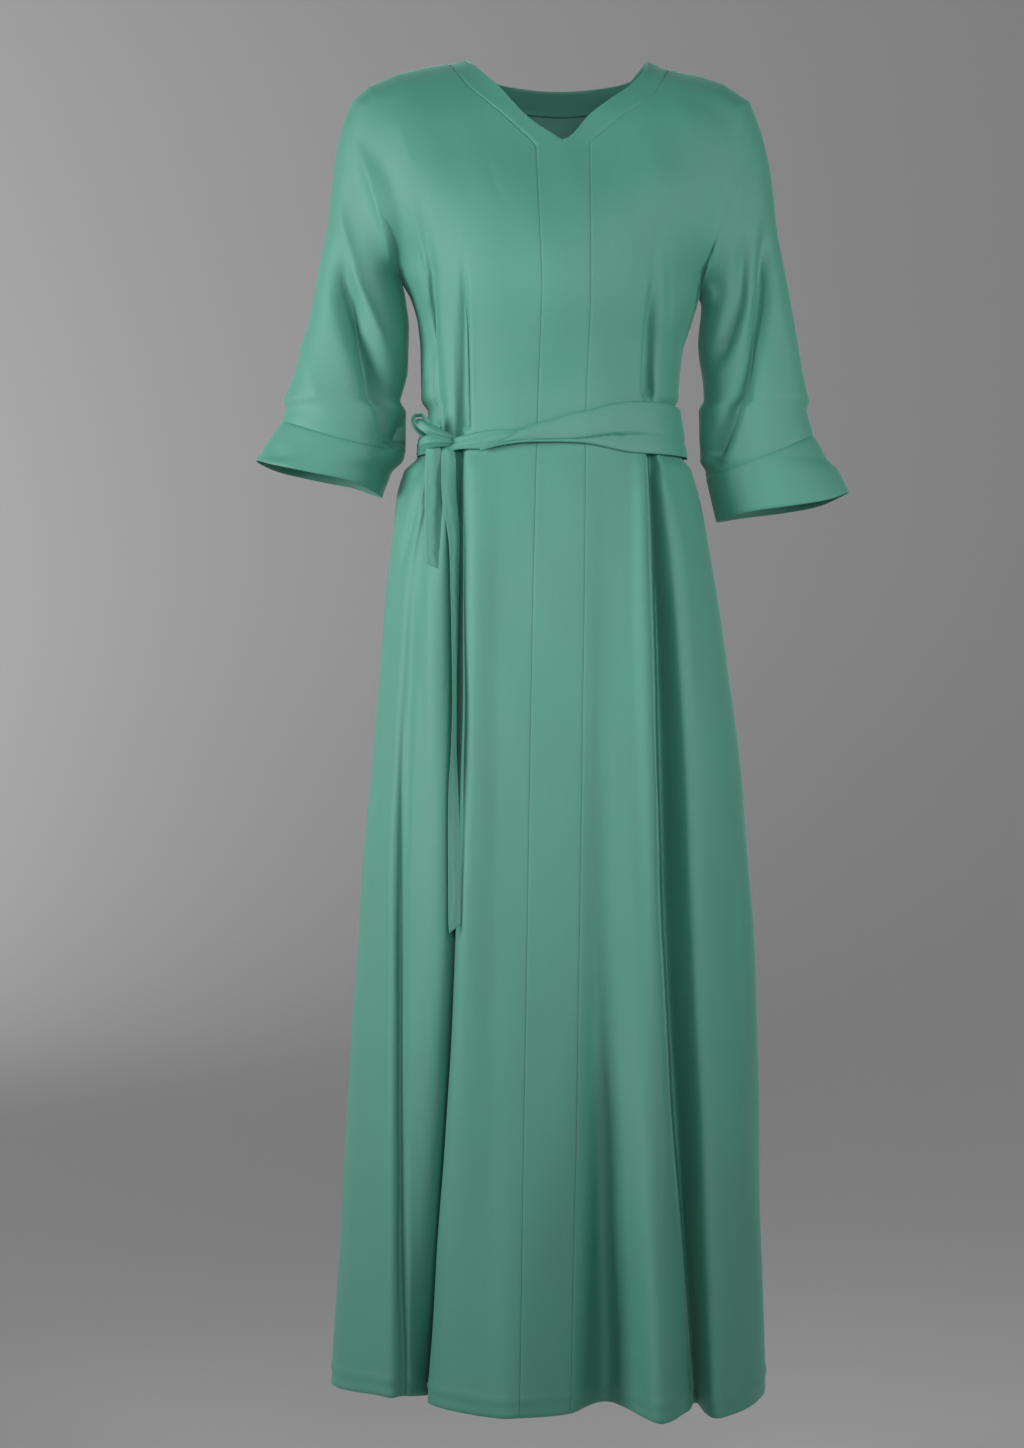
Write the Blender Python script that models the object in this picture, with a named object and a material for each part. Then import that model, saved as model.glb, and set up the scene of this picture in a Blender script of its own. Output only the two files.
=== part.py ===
"""Long kaftan dress, worn shape, hollow: cut-in-one sleeves, V neck band,
centre-front panel, cuffs and a tie belt knotted at the wearer's right.

Metres, +Z up. The front faces -Y, and +X is the wearer's left. The origin is
inside the shoulder line, where a wearer's shoulders hold the dress up.
The tables below are in millimetres, and MM turns them into metres.
"""
import bmesh
import bpy
import numpy as np
from mathutils import Vector

MM = 0.001
CLOTH = 1.2 * MM            # wall of every cloth piece
SEAM_GAP = 0.3 * MM         # clear gap between two sewn pieces
WELD = 0.01 * MM            # points closer than this are one point
ROUND = 2.3                 # section shape: 2 is an ellipse, more is squarer
SHOULDER_RADIUS = 65.0      # reach of the rounding from a sleeve or shoulder edge
SLEEVE_DEPTH = 58.0         # half the depth of a sleeve, front to back
BELT_STANDOFF = 8.0         # middle of the belt wall outside the dress section
ROLLED_COLUMNS = 4          # columns beside each side seam that roll over to it
BLEND_START = 20.0          # the sleeve's depth starts to grow this far outside the armhole
BLEND_REACH = 90.0          # and is the body's depth this much further in
BODICE_END = -215.0         # below this the bodice's rolled edge keeps its reach
HANDOVER_START = 45.0       # the plain section takes over from this far above the underarm
HANDOVER_REACH = 80.0       # down to this much lower
SHARP_EDGE = 50.0           # degrees; sharper edges than this are shaded as edges
DRESS_COLOUR = (0.055, 0.36, 0.235, 1.0)
CLOTH_ROUGHNESS = 0.48

# One row for each body level: height, the two side lines, and how far the
# front and the back stand from the plane of the side seams.
BODY = [
    # level, side_right, side_left, front, back
    (40, -190, 190, 30, 40),
    (-40, -185, 185, 66, 80),
    (-84, -180, 180, 81, 92),
    (-140, -172, 170, 106, 101),
    (-190, -160, 158, 121, 101),
    (-210, -151, 151, 124, 100),
    (-230, -140, 146, 124, 97),
    (-256, -133, 138, 118, 90),
    (-284, -131, 130, 110, 82),
    (-340, -131, 126, 100, 70),
    (-380, -138, 133, 101, 76),
    (-405, -149, 140, 106, 86),
    (-430, -156, 147, 111, 97),
    (-480, -160, 156, 119, 110),
    (-580, -169, 173, 129, 124),
    (-730, -183, 191, 140, 138),
    (-930, -198, 204, 152, 154),
    (-1130, -209, 207, 163, 169),
    (-1312, -221, 213, 172, 182),
]
# Levels that the fold tables name.
LEVELS = {"bust": -240, "waist": -350, "hip": -500, "knee": -830, "hem": -1312}

# One row for each line down the front, right side seam to left side seam:
# cells to the next line, x where it meets the shoulder or neck seam, x at
# the five levels, and how far it lies inside (+) or outside (-) the section
# at those levels. The hem is lifted by the last number.
CELLS, TOP, FIRST_X, FIRST_IN, LIFT = 1, 2, 3, 8, 13
FRONT_LINES = [
    # name, cells, top, x: bust, waist, hip, knee, hem, in: bust, waist, hip, knee, hem, lift
    ("right_side", 2, -200, None, None, None, None, None, 0, 0, 0, 0, 0, 2),
    ("side_trough", 2, -184, -129, -121, -150, -171, -184, 2, 4, 5, 7, 16, 8),
    ("side_ridge", 1, -166, -123, -116, -144, -157, -157, -2, -2, -3, -4, 8, 9),
    ("small_trough", 1, -152, -117, -111, -134, -146, -146, 4, 6, 7, 10, 26, 9),
    ("small_ridge", 2, -138, -109, -104, -122, -138, -140, -3, -3, -2, 0, 30, 9),
    ("pleat_outer", 3, -126, -98, -96, -103, -102, -120, -2, -1, 1, 3, 70, 4),
    ("pleat_root", 3, -115, -89, -88, -92, -94, -92, 8, 9, 52, 72, 132, 0),
    ("pleat_edge", 3, -105, -83, -83, -82, -90, -122, -4, -4, -3, -2, 36, 3),
    ("front_crest", 3, -52, -46, -47, -50, -54, -62, 0, 0, 0, 0, 2, -1),
    ("right_panel_seam", 3, -16.6, -11, -15, -19, -25, -33, 0, 0, 0, 0, -4, 0),
    ("left_panel_seam", 2, 36.2, 36, 32, 30, 25, 16, 0, 0, 0, 0, 18, 0),
    ("hem_trough", 3, 58, 56, 53, 51, 45, 53, 0, 0, 2, 7, 58, 3),
    ("hem_ridge", 3, 84, 76, 74, 74, 82, 98, 0, 0, 0, -5, -32, -2),
    ("tuck_edge", 2, 106, 90, 88, 91, 99, 129, -3, -4, -5, -5, 0, 0),
    ("tuck_root", 2, 118.5, 95, 93, 99, 107, 138, 9, 9, 38, 40, 38, 0),
    ("tuck_ridge", 2, 143, 106, 103, 117, 135, 151, -3, -4, -4, -5, -22, -4),
    ("side_ridge_left", 3, 172, 126, 115, 147, 171, 180, 0, 0, -2, -6, -22, -4),
    ("left_side", 0, 197, None, None, None, None, None, 0, 0, 0, 0, 0, 2),
]
# The back, in the same columns: plain, with the belt's gathers as soft flutes.
# Its lines meet the shoulder seams where lines of the front do.
BACK_LINES = [
    ("right_side", 1, -200, None, None, None, None, None, 0, 0, 0, 0, 0, 2),
    ("side_panel_right", 1, -184, -128, -122, -146, -178, -196, 0, 2, 3, 4, 8, 3),
    ("outer_trough_right", 1, -152, -112, -108, -129, -150, -167, 0, 6, 10, 14, 26, 4),
    ("gather_right", 1, -126, -100, -95, -112, -130, -146, 0, 1, 2, 2, 2, 2),
    ("outer_ridge_right", 2, -105, -88, -82, -94, -110, -124, -1, -3, -5, -8, -14, 0),
    ("inner_trough_right", 2, -66, -58, -54, -60, -72, -80, 1, 7, 9, 12, 24, 4),
    ("inner_ridge_right", 2, -34, -30, -26, -30, -34, -40, 0, -3, -5, -8, -12, 0),
    ("middle_trough", 2, 5, 6, 6, 4, 2, 0, 1, 6, 7, 10, 18, 3),
    ("inner_ridge_left", 2, 46, 38, 34, 36, 42, 44, 0, -3, -5, -8, -14, 0),
    ("inner_trough_left", 2, 80, 66, 58, 68, 80, 84, 1, 7, 9, 12, 22, 4),
    ("outer_ridge_left", 2, 118.5, 92, 82, 98, 114, 122, -1, -3, -5, -8, -14, 0),
    ("outer_trough_left", 1, 143, 112, 102, 122, 142, 152, 0, 6, 9, 12, 24, 4),
    ("side_panel_left", 2, 172, 127, 116, 144, 172, 184, 0, 2, 3, 4, 8, 3),
    ("left_side", 0, 197, None, None, None, None, None, 0, 0, 0, 0, 0, 2),
]
# Lines seen from the front, as (x, z): shoulder, sleeve and neck lines of
# each side, from the neck outwards or down the sleeve.
SHOULDER_RIGHT = [(-105, 4), (-126, 0.5), (-152, -5.5), (-184, -18.5), (-200, -34)]
SHOULDER_LEFT = [(118.5, -1.5), (143, -6.5), (172, -17), (197, -34)]
SLEEVE_TOP_RIGHT = [(-200, -34), (-211, -64), (-218, -105), (-224, -150), (-234, -205),
                    (-243, -255), (-257, -305), (-277, -352)]
SLEEVE_TOP_LEFT = [(197, -34), (208, -64), (218, -105), (225, -155), (233, -205),
                   (242, -255), (251, -305), (267, -366)]
SLEEVE_UNDER_RIGHT = [(-151, -210), (-147, -230), (-144, -258), (-146, -300), (-153, -335), (-154, -384)]
SLEEVE_UNDER_LEFT = [(147, -226), (150, -236), (147, -275), (152, -320), (153, -355), (154, -407)]
CUFF_RIGHT = [(-302, -391), (-281, -397), (-238, -406), (-200, -414), (-169, -427)]
CUFF_LEFT = [(165, -451), (191, -445), (240, -438), (272, -432), (296.6, -422)]
CUFF_FLARE = 1.12           # depth of a cuff's open end against its seam
CUFF_SEAM_SAG = 5.0         # the cuff seam's middle hangs below its ends' line
NECK_SEAM = [(-105, 4), (-85, -25), (-51, -55), (-23, -82), (-16.6, -90.3), (8.7, -83.7),
             (36.2, -86.4), (42, -80.5), (72, -55), (98.7, -36), (106, -26), (118.5, -1.5)]
NECK_EDGE_RIGHT = [(-85.5, 10.4), (-82, 4), (-56, -24), (-23, -61), (0, -78), (8.7, -83.7)]
NECK_EDGE_LEFT = [(8.7, -83.7), (15.7, -80.5), (35.6, -58), (58.7, -39), (81.3, -20), (93.3, -2), (95, 8)]
BACK_NECK_SEAM = [(-105, 4), (-84, -17), (-45, -29), (6, -33), (55, -31), (98, -20), (118.5, -1.5)]
BACK_NECK_EDGE = [(-85.5, 10.4), (-68, -1), (-36, -8), (6, -11), (48, -9), (80, -3), (95, 8)]
NECK_BRIDGE = [(-85.5, 10.4), (-40, 26), (5, 30), (50, 25), (95, 8)]

# The belt's edges along the front, and the heights it has all round the back.
BELT_FRONT = [
    # x, top, bottom
    (-131, -366, -390),
    (-107, -373, -390),
    (-84, -373, -387),
    (-50, -366, -384),
    (-17, -363, -381),
    (15, -355, -380),
    (42, -348, -383),
    (84, -341, -389),
    (126, -343, -390),
]
BELT_BACK = (-343, -389)
TIE_STANDOFF = 5.0          # tie ends hang this far outside the belt
BELT_CELLS = 22             # cells along the front, and as many along the back
KNOT_PLACE = (-111, -379)   # x, z of its middle
KNOT_SIZE = (30, 16, 20)
KNOT_ROUNDNESS = 0.6        # 0 is a box, 1 a ball
KNOT_GAP = 3.0              # from the middle of the belt wall to the knot's back
BELT_SIDE_BLEND = 60.0      # the belt reaches its height at the back over this much of x
# Tie ends: x, z, width and turn of the strip about its length (degrees).
LONG_END = [
    (-104, -392, 13, -35), (-102, -430, 12, -35), (-102, -480, 11, -60), (-100, -540, 10, -75),
    (-98, -600, 8, -80), (-97, -660, 9, -70), (-96, -720, 12, -35), (-96, -780, 12, -20),
    (-96, -840, 11, -15), (-98, -852, 8, -10),
]
SHORT_END = [
    (-117, -392, 14, -40), (-119, -420, 14, -45), (-121, -450, 14, -45), (-122, -480, 13, -45), (-121, -500, 11, -45),
]
# The loop beside the knot: its round outline as x, z, and its strip's width.
LOOP_OUTLINE = [(-124, -366), (-132, -369), (-139, -361), (-139, -351), (-132, -348), (-125, -353), (-119, -363)]
LOOP_WIDTH = 9.0
LOOP_DEPTH = -80.0          # y of its middle

UPPER_CELLS = 8             # rows between the shoulder and the underarm
# Heights of the rows below the underarm, closest at the waist.
LOWER_ROWS = (-218, -246, -274, -302, -330, -356, -382, -408, -440, -480, -535, -610,
              -700, -805, -920, -1045, -1180, -1312)
SLEEVE_CELLS = 7            # rows along a sleeve


def smooth_table(keys, values, at):
    """Monotone cubic through a table, flat beyond its ends."""
    keys = np.asarray(keys, float)
    values = np.asarray(values, float)
    at = np.clip(np.asarray(at, float), keys[0], keys[-1])
    step = np.diff(keys)
    slope = np.diff(values) / step
    tangent = np.zeros(len(keys))
    tangent[0], tangent[-1] = slope[0], slope[-1]
    for i in range(1, len(keys) - 1):
        if slope[i - 1] * slope[i] > 0:
            first, second = 2 * step[i] + step[i - 1], step[i] + 2 * step[i - 1]
            tangent[i] = (first + second) / (first / slope[i - 1] + second / slope[i])
    cell = np.clip(np.searchsorted(keys, at, side="right") - 1, 0, len(keys) - 2)
    t = (at - keys[cell]) / step[cell]
    return ((2 * t**3 - 3 * t**2 + 1) * values[cell] + (t**3 - 2 * t**2 + t) * step[cell] * tangent[cell]
            + (3 * t**2 - 2 * t**3) * values[cell + 1] + (t**3 - t**2) * step[cell] * tangent[cell + 1])


def smooth_curve(points, count):
    """Evenly spaced points along a smooth curve through (x, z) points."""
    points = np.asarray(points, float)
    reach = np.concatenate([[0], np.cumsum(np.linalg.norm(np.diff(points, axis=0), axis=1))])
    at = np.linspace(0, reach[-1], count)
    return np.stack([smooth_table(reach, points[:, k], at) for k in range(points.shape[1])], axis=1)


def through_lines(values, cells):
    """Catmull-Rom values between neighbouring lines, each cut into its cells."""
    padded = [2 * values[0] - values[1]] + list(values) + [2 * values[-1] - values[-2]]
    result = []
    for i in range(len(values) - 1):
        before, start, end, after = padded[i:i + 4]
        for k in range(cells[i]):
            t = k / cells[i]
            result.append(0.5 * (2 * start + (end - before) * t
                                 + (2 * before - 5 * start + 4 * end - after) * t**2
                                 + (3 * start - before - 3 * end + after) * t**3))
    result.append(values[-1])
    return np.array(result)


def ease(t):
    """0 to 1 with a soft start and end."""
    t = np.clip(t, 0, 1)
    return t * t * (3 - 2 * t)


def rounding(distance, reach):
    """How full the cloth is at a distance inside an edge that it rolls over."""
    t = np.clip(distance / reach, 0, 1)
    return (1 - (1 - t) ** ROUND) ** (1 / ROUND)


def distance_to(line, x, z):
    """Distance from (x, z) to the nearest point of a line of points."""
    best = np.inf
    for (ax, az), (bx, bz) in zip(line[:-1], line[1:]):
        dx, dz = bx - ax, bz - az
        t = np.clip(((x - ax) * dx + (z - az) * dz) / max(dx * dx + dz * dz, 1e-9), 0, 1)
        best = min(best, np.hypot(x - ax - t * dx, z - az - t * dz))
    return best


BODY_LEVELS = [row[0] for row in reversed(BODY)]


def body(column, z):
    """A BODY column at height z: 1 right side, 2 left side, 3 front, 4 back."""
    return smooth_table(BODY_LEVELS, [row[column] for row in reversed(BODY)], z)


def section(x, z, face):
    """Depth of the plain body section; face is -1 for the front, +1 for the back."""
    right, left = body(1, z), body(2, z)
    across = abs((x - (left + right) / 2) / ((left - right) / 2))
    return face * body(3 if face < 0 else 4, z) * (1 - min(across, 1) ** ROUND) ** (1 / ROUND)


TOP_LINE = np.concatenate([
    smooth_curve(SLEEVE_TOP_RIGHT[::-1], 24), SHOULDER_RIGHT[::-1], NECK_BRIDGE,
    SHOULDER_LEFT, smooth_curve(SLEEVE_TOP_LEFT, 24)])
TORSO_SIDE_RIGHT = [(float(body(1, z)), z) for z in range(-210, -700, -15)]
TORSO_SIDE_LEFT = [(float(body(2, z)), z) for z in range(-226, -700, -15)]
UNDER_RIGHT = list(map(tuple, smooth_curve(SLEEVE_UNDER_RIGHT[::-1], 20))) + TORSO_SIDE_RIGHT
UNDER_LEFT = list(map(tuple, smooth_curve(SLEEVE_UNDER_LEFT[::-1], 20))) + TORSO_SIDE_LEFT
ARMHOLES = [(SLEEVE_TOP_RIGHT[0], SLEEVE_UNDER_RIGHT[0]), (SLEEVE_TOP_LEFT[0], SLEEVE_UNDER_LEFT[0])]


def inside_armhole(x, z, armhole, towards):
    """Signed distance from an armhole's line, positive on the body's side."""
    (ax, az), (bx, bz) = armhole
    length = np.hypot(bx - ax, bz - az)
    return towards * -((x - ax) * (bz - az) - (z - az) * (bx - ax)) / length


def upper_depth(x, z, face):
    """Depth of the bodice and sleeves, rolled over every edge of the outline."""
    body_share = ease((inside_armhole(x, z, ARMHOLES[0], 1) + BLEND_START) / BLEND_REACH) \
        * ease((inside_armhole(x, z, ARMHOLES[1], -1) + BLEND_START) / BLEND_REACH)
    full = SLEEVE_DEPTH + (body(3 if face < 0 else 4, z) - SLEEVE_DEPTH) * body_share
    level = min(z, BODICE_END)
    half_width = (body(2, level) - body(1, level)) / 2
    reach = SHOULDER_RADIUS + (half_width - SHOULDER_RADIUS) * body_share
    return face * full * rounding(distance_to(TOP_LINE, x, z), SHOULDER_RADIUS) \
        * rounding(distance_to(UNDER_RIGHT, x, z), reach) * rounding(distance_to(UNDER_LEFT, x, z), reach)


def depth(x, z, face, underarm):
    """The bodice's depth, handing over to the plain section at the underarm."""
    share = ease((underarm + HANDOVER_START - z) / HANDOVER_REACH)
    return (1 - share) * upper_depth(x, z, face) + share * section(x, z, face)


def top_height(x, seam):
    """Height of the shoulder or neck seam at x."""
    if x <= SHOULDER_RIGHT[0][0]:
        line = SHOULDER_RIGHT[::-1]
    elif x >= SHOULDER_LEFT[0][0]:
        line = SHOULDER_LEFT
    else:
        line = seam
    return float(np.interp(x, [p[0] for p in line], [p[1] for p in line]))


def line_at_level(lines, z, first_column):
    """One number for each line at height z, smoothed between the levels."""
    levels = sorted(LEVELS.values())
    names = sorted(LEVELS, key=LEVELS.get)
    order = ["bust", "waist", "hip", "knee", "hem"]
    result = []
    for row in lines:
        values = [row[first_column + order.index(name)] for name in names]
        result.append(None if values[0] is None else float(smooth_table(levels, values, z)))
    return result


def lower_section(lines, cells, z):
    """x and inward depth of every column at height z."""
    right, left = float(body(1, z)), float(body(2, z))
    middle, half = (left + right) / 2, (left - right) / 2
    xs = line_at_level(lines, z, FIRST_X)
    angles = [np.arcsin(np.clip((x - middle) / half, -1, 1)) for x in xs[1:-1]]
    angles = [-np.pi / 2] + angles + [np.pi / 2]
    return middle + half * np.sin(through_lines(angles, cells)), \
        through_lines(line_at_level(lines, z, FIRST_IN), cells)


def torso(lines, face, seam):
    """Grid of points, shoulder to hem, right side to left side, and line columns."""
    cells = [row[CELLS] for row in lines[:-1]]
    columns = np.concatenate([[0], np.cumsum(cells)])
    count = columns[-1] + 1
    across = np.linspace(0, 1, count)
    underarm = SLEEVE_UNDER_RIGHT[0][1] + (SLEEVE_UNDER_LEFT[0][1] - SLEEVE_UNDER_RIGHT[0][1]) * across
    tops = through_lines([row[TOP] for row in lines], cells)
    lifts = through_lines([row[LIFT] for row in lines], cells)
    grid = []
    bottoms, folds = [], []
    for j in range(count):
        xs, ins = lower_section(lines, cells, underarm[j])
        bottoms.append(xs[j])
        folds.append(ins[j])
    bottoms[0], bottoms[-1] = SLEEVE_UNDER_RIGHT[0][0], SLEEVE_UNDER_LEFT[0][0]
    for i in range(UPPER_CELLS):
        row = []
        for j in range(count):
            edge = ease(min(j, count - 1 - j) / ROLLED_COLUMNS)
            along = (1 - edge) * (1 - np.cos(np.pi * i / UPPER_CELLS)) / 2 \
                + edge * (1 - np.cos(np.pi / 2 * i / UPPER_CELLS))
            x = tops[j] + (bottoms[j] - tops[j]) * along
            top = top_height(tops[j], seam)
            z = top + (underarm[j] - top) * along
            on_shoulder = i == 0 and not SHOULDER_RIGHT[0][0] < x < SHOULDER_LEFT[0][0]
            y = 0.0 if on_shoulder else depth(x, z, face, underarm[j]) - face * folds[j] * ease(along)
            row.append((x, y, z))
        grid.append(row)
    for i, level in enumerate(LOWER_ROWS):
        row = []
        for j in range(count):
            share = (level - LOWER_ROWS[0]) / (LOWER_ROWS[-1] - LOWER_ROWS[0])
            z = underarm[j] + (LEVELS["hem"] + lifts[j] - underarm[j]) * share
            xs, ins = lower_section(lines, cells, z)
            x = bottoms[j] if i == 0 else xs[j]
            row.append((x, depth(x, z, face, underarm[j]) - face * ins[j], z))
        grid.append(row)
    for row in grid[:UPPER_CELLS + 1]:
        for j in (0, count - 1):
            x, _, z = row[j]
            row[j] = (x, upper_depth(x, z, face), z)
    return np.array(grid) * MM, columns


def sleeve(top_line, under_line, face, outer_first):
    """Grid of points, armhole to cuff seam; columns run along +X."""
    outer = smooth_curve(top_line, SLEEVE_CELLS + 1)
    inner = smooth_curve(under_line, SLEEVE_CELLS + 1)
    grid = []
    for i in range(SLEEVE_CELLS + 1):
        row = []
        for k in range(UPPER_CELLS + 1):
            across = (1 - np.cos(np.pi * k / UPPER_CELLS)) / 2
            x, z = outer[i] + (inner[i] - outer[i]) * across
            z -= CUFF_SEAM_SAG * (i / SLEEVE_CELLS) ** 2 * np.sin(np.pi * across)
            rim = k in (0, UPPER_CELLS)
            row.append((x, 0.0 if rim else upper_depth(x, z, face), z))
        grid.append(row if outer_first else row[::-1])
    return np.array(grid) * MM


def material(name, colour, roughness):
    made = bpy.data.materials.new(name)
    made.use_nodes = True
    shader = made.node_tree.nodes["Principled BSDF"]
    shader.inputs["Base Color"].default_value = colour
    shader.inputs["Roughness"].default_value = roughness
    shader.inputs["Metallic"].default_value = 0.0
    return made


def sheet_mesh(grids, faces):
    """Grids of points welded into one open sheet, its faces turned outwards."""
    mesh = bmesh.new()
    for grid, face in zip(grids, faces):
        points = [[mesh.verts.new(Vector(point)) for point in row] for row in grid]
        for above, below in zip(points[:-1], points[1:]):
            for k in range(len(above) - 1):
                corners = [above[k], below[k], below[k + 1], above[k + 1]]
                mesh.faces.new(corners if face < 0 else corners[::-1])
    bmesh.ops.remove_doubles(mesh, verts=mesh.verts, dist=WELD)
    bmesh.ops.dissolve_degenerate(mesh, edges=mesh.edges, dist=WELD)
    mesh.normal_update()
    return mesh


def place_key(point):
    """A name for a place, the same for points that the weld brought together."""
    return tuple(int(round(value / (5 * WELD))) for value in point)


def shared_normals(grids, faces):
    """The whole dress's normal at every point, so that the walls of two
    pieces lean the same way along the seam between them."""
    whole = sheet_mesh(grids, faces)
    normals = {place_key(vert.co): vert.normal.copy() for vert in whole.verts}
    whole.free()
    return normals


def cloth(name, grids, faces, normals=None):
    """One cut piece: a sheet drawn in from its edges by half a seam gap, then
    given the cloth's thickness along the normals, half to each side."""
    mesh = sheet_mesh(grids, faces)
    if normals is None:
        leans = {vert: vert.normal.copy() for vert in mesh.verts}
    else:
        leans = {vert: normals[place_key(vert.co)] for vert in mesh.verts}
    draw_in(mesh, SEAM_GAP / 2)
    # both layers share the same diagonals, so that a twisted cell keeps its thickness
    bmesh.ops.triangulate(mesh, faces=mesh.faces, quad_method="SHORT_EDGE")
    inner = {vert: mesh.verts.new(vert.co - leans[vert] * CLOTH / 2) for vert in leans}
    rim = [edge for edge in mesh.edges if edge.is_boundary]
    outer_faces = list(mesh.faces)
    # a skew rim face is split on its shorter diagonal, so that neither half is a sliver
    for edge in rim:
        first, second = edge.link_loops[0].vert, edge.link_loops[0].link_loop_next.vert
        corners = [second, first, inner[first], inner[second]]
        if (leans[second] + leans[first]).dot(second.co - first.co) > 0:
            corners = corners[1:] + corners[:1]
        mesh.faces.new([corners[0], corners[1], corners[2]])
        mesh.faces.new([corners[0], corners[2], corners[3]])
    for flat in outer_faces:
        mesh.faces.new([inner[vert] for vert in reversed(flat.verts)])
    for vert, lean in leans.items():
        vert.co += lean * CLOTH / 2
    return finish_piece(name, mesh)


def finish_piece(name, mesh):
    data = bpy.data.meshes.new(name)
    mesh.to_mesh(data)
    mesh.free()
    data.shade_smooth()
    data.set_sharp_from_angle(angle=np.radians(SHARP_EDGE))
    data.materials.append(material(name + "_cloth", DRESS_COLOUR, CLOTH_ROUGHNESS))
    piece = bpy.data.objects.new(name, data)
    collection.objects.link(piece)
    return piece


def draw_in(mesh, distance):
    """Move a sheet's edge inwards along its surface."""
    shifts = {}
    for edge in mesh.edges:
        if not edge.is_boundary:
            continue
        face = edge.link_faces[0]
        run = (edge.verts[1].co - edge.verts[0].co).normalized()
        inward = face.normal.cross(run)
        if inward.dot(face.calc_center_median() - edge.verts[0].co) < 0:
            inward = -inward
        for vert in edge.verts:
            shifts.setdefault(vert, []).append(inward)
    for vert, pair in shifts.items():
        total = pair[0] + pair[-1]
        vert.co += total * (distance / max(0.5, total.length_squared / 2))


def dress_body():
    """Front, centre front, back, neck bands and cuffs, all on one surface."""
    front, columns = torso(FRONT_LINES, -1, NECK_SEAM)
    back, back_columns = torso(BACK_LINES, 1, BACK_NECK_SEAM)
    at = {row[0]: column for row, column in zip(FRONT_LINES, columns)}
    back_at = {row[0]: column for row, column in zip(BACK_LINES, back_columns)}
    sleeves = {}
    for face in (-1, 1):
        sleeves["right", face] = sleeve(SLEEVE_TOP_RIGHT, SLEEVE_UNDER_RIGHT, face, True)
        sleeves["left", face] = sleeve(SLEEVE_TOP_LEFT, SLEEVE_UNDER_LEFT, face, False)
    right_seam, left_seam = at["right_panel_seam"], at["left_panel_seam"]
    pieces = {
        "front_right": ([front[:, :right_seam + 1], sleeves["right", -1]], [-1, -1]),
        "centre_front": ([front[:, right_seam:left_seam + 1]], [-1]),
        "front_left": ([front[:, left_seam:], sleeves["left", -1]], [-1, -1]),
        "back": ([back, sleeves["right", 1], sleeves["left", 1]], [1, 1, 1]),
        "neck_band_front_right": (
            [neck_band(front[0, at["pleat_edge"]:right_seam + 1], NECK_EDGE_RIGHT, -1)], [-1]),
        "neck_band_front_left": (
            [neck_band(front[0, left_seam:at["tuck_root"] + 1], NECK_EDGE_LEFT, -1)], [-1]),
        "neck_band_back": (
            [neck_band(back[0, back_at["outer_ridge_right"]:back_at["outer_ridge_left"] + 1],
                       BACK_NECK_EDGE, 1)], [1]),
        "cuff_right": ([cuff(sleeves["right", -1][-1], sleeves["right", 1][-1], CUFF_RIGHT)], [-1]),
        "cuff_left": ([cuff(sleeves["left", -1][-1], sleeves["left", 1][-1], CUFF_LEFT)], [-1]),
    }
    normals = shared_normals([grid for grids, _ in pieces.values() for grid in grids],
                             [face for _, faces in pieces.values() for face in faces])
    for name, (grids, faces) in pieces.items():
        cloth(name, grids, faces, normals)


def neck_band(seam, edge, face):
    """A band from the neck seam up to the neck's edge."""
    rim = smooth_curve(edge, len(seam))
    top = np.array([(x, upper_depth(x, z, face), z) for x, z in rim]) * MM
    for end in (0, -1):
        if seam[end, 1] == 0.0:
            top[end, 1] = 0.0
    return np.array([top, (top + seam) / 2, seam])


def cuff(front_seam, back_seam, edge):
    """A flared band round the end of a sleeve, in one closed ring."""
    share = (front_seam[:, 0] - front_seam[0, 0]) / (front_seam[-1, 0] - front_seam[0, 0])
    curve = np.asarray(edge, float)
    reach = (curve[:, 0] - curve[0, 0]) / (curve[-1, 0] - curve[0, 0])
    rims = []
    for seam in (front_seam, back_seam):
        rims.append(np.stack([np.interp(share, reach, curve[:, 0]) * MM, seam[:, 1] * CUFF_FLARE,
                              np.interp(share, reach, curve[:, 1]) * MM], axis=1))
    seam_ring = np.concatenate([front_seam, back_seam[-2::-1]])
    rim_ring = np.concatenate([rims[0], rims[1][-2::-1]])
    return np.array([seam_ring, (seam_ring + rim_ring) / 2, rim_ring])


def on_section(x, z, face, standoff):
    """A point outside the plain section by the standoff, square to it."""
    step = 0.5
    right, left = float(body(1, z)), float(body(2, z))
    middle, half = (left + right) / 2, (left - right) / 2
    x = min(max(x, middle - half), middle + half)
    if abs(x - middle) > half - step:
        return x + np.sign(x - middle) * standoff, 0.0, z
    y = section(x, z, face)
    dx = 2 * step
    dy = section(x + step, z, face) - section(x - step, z, face)
    length = np.hypot(dx, dy)
    return x + face * -dy * standoff / length, y + face * dx * standoff / length, z


def belt():
    """The tie round the waist: wide at the wearer's left, bunched to the knot."""
    rings = []
    table = np.array(BELT_FRONT, float)
    for share in (0.0, 0.5, 1.0):
        ring = []
        for face in (-1, 1):
            for k in range(BELT_CELLS):
                angle = np.pi * (k / BELT_CELLS - 0.5) * -face
                z = sum(BELT_BACK) / 2
                for _ in range(2):
                    right, left = float(body(1, z)), float(body(2, z))
                    x = (left + right) / 2 + (left - right) / 2 * np.sin(angle)
                    top = np.interp(x, table[:, 0], table[:, 1])
                    bottom = np.interp(x, table[:, 0], table[:, 2])
                    if face > 0:
                        blend = ease((x - right) / BELT_SIDE_BLEND)
                        top += (BELT_BACK[0] - top) * blend
                        bottom += (BELT_BACK[1] - bottom) * blend
                    z = top + (bottom - top) * share
                ring.append(on_section(x, z, face, BELT_STANDOFF))
        rings.append(ring + ring[:1])
    cloth("belt_waist", [np.array(rings) * MM], [-1])


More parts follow.
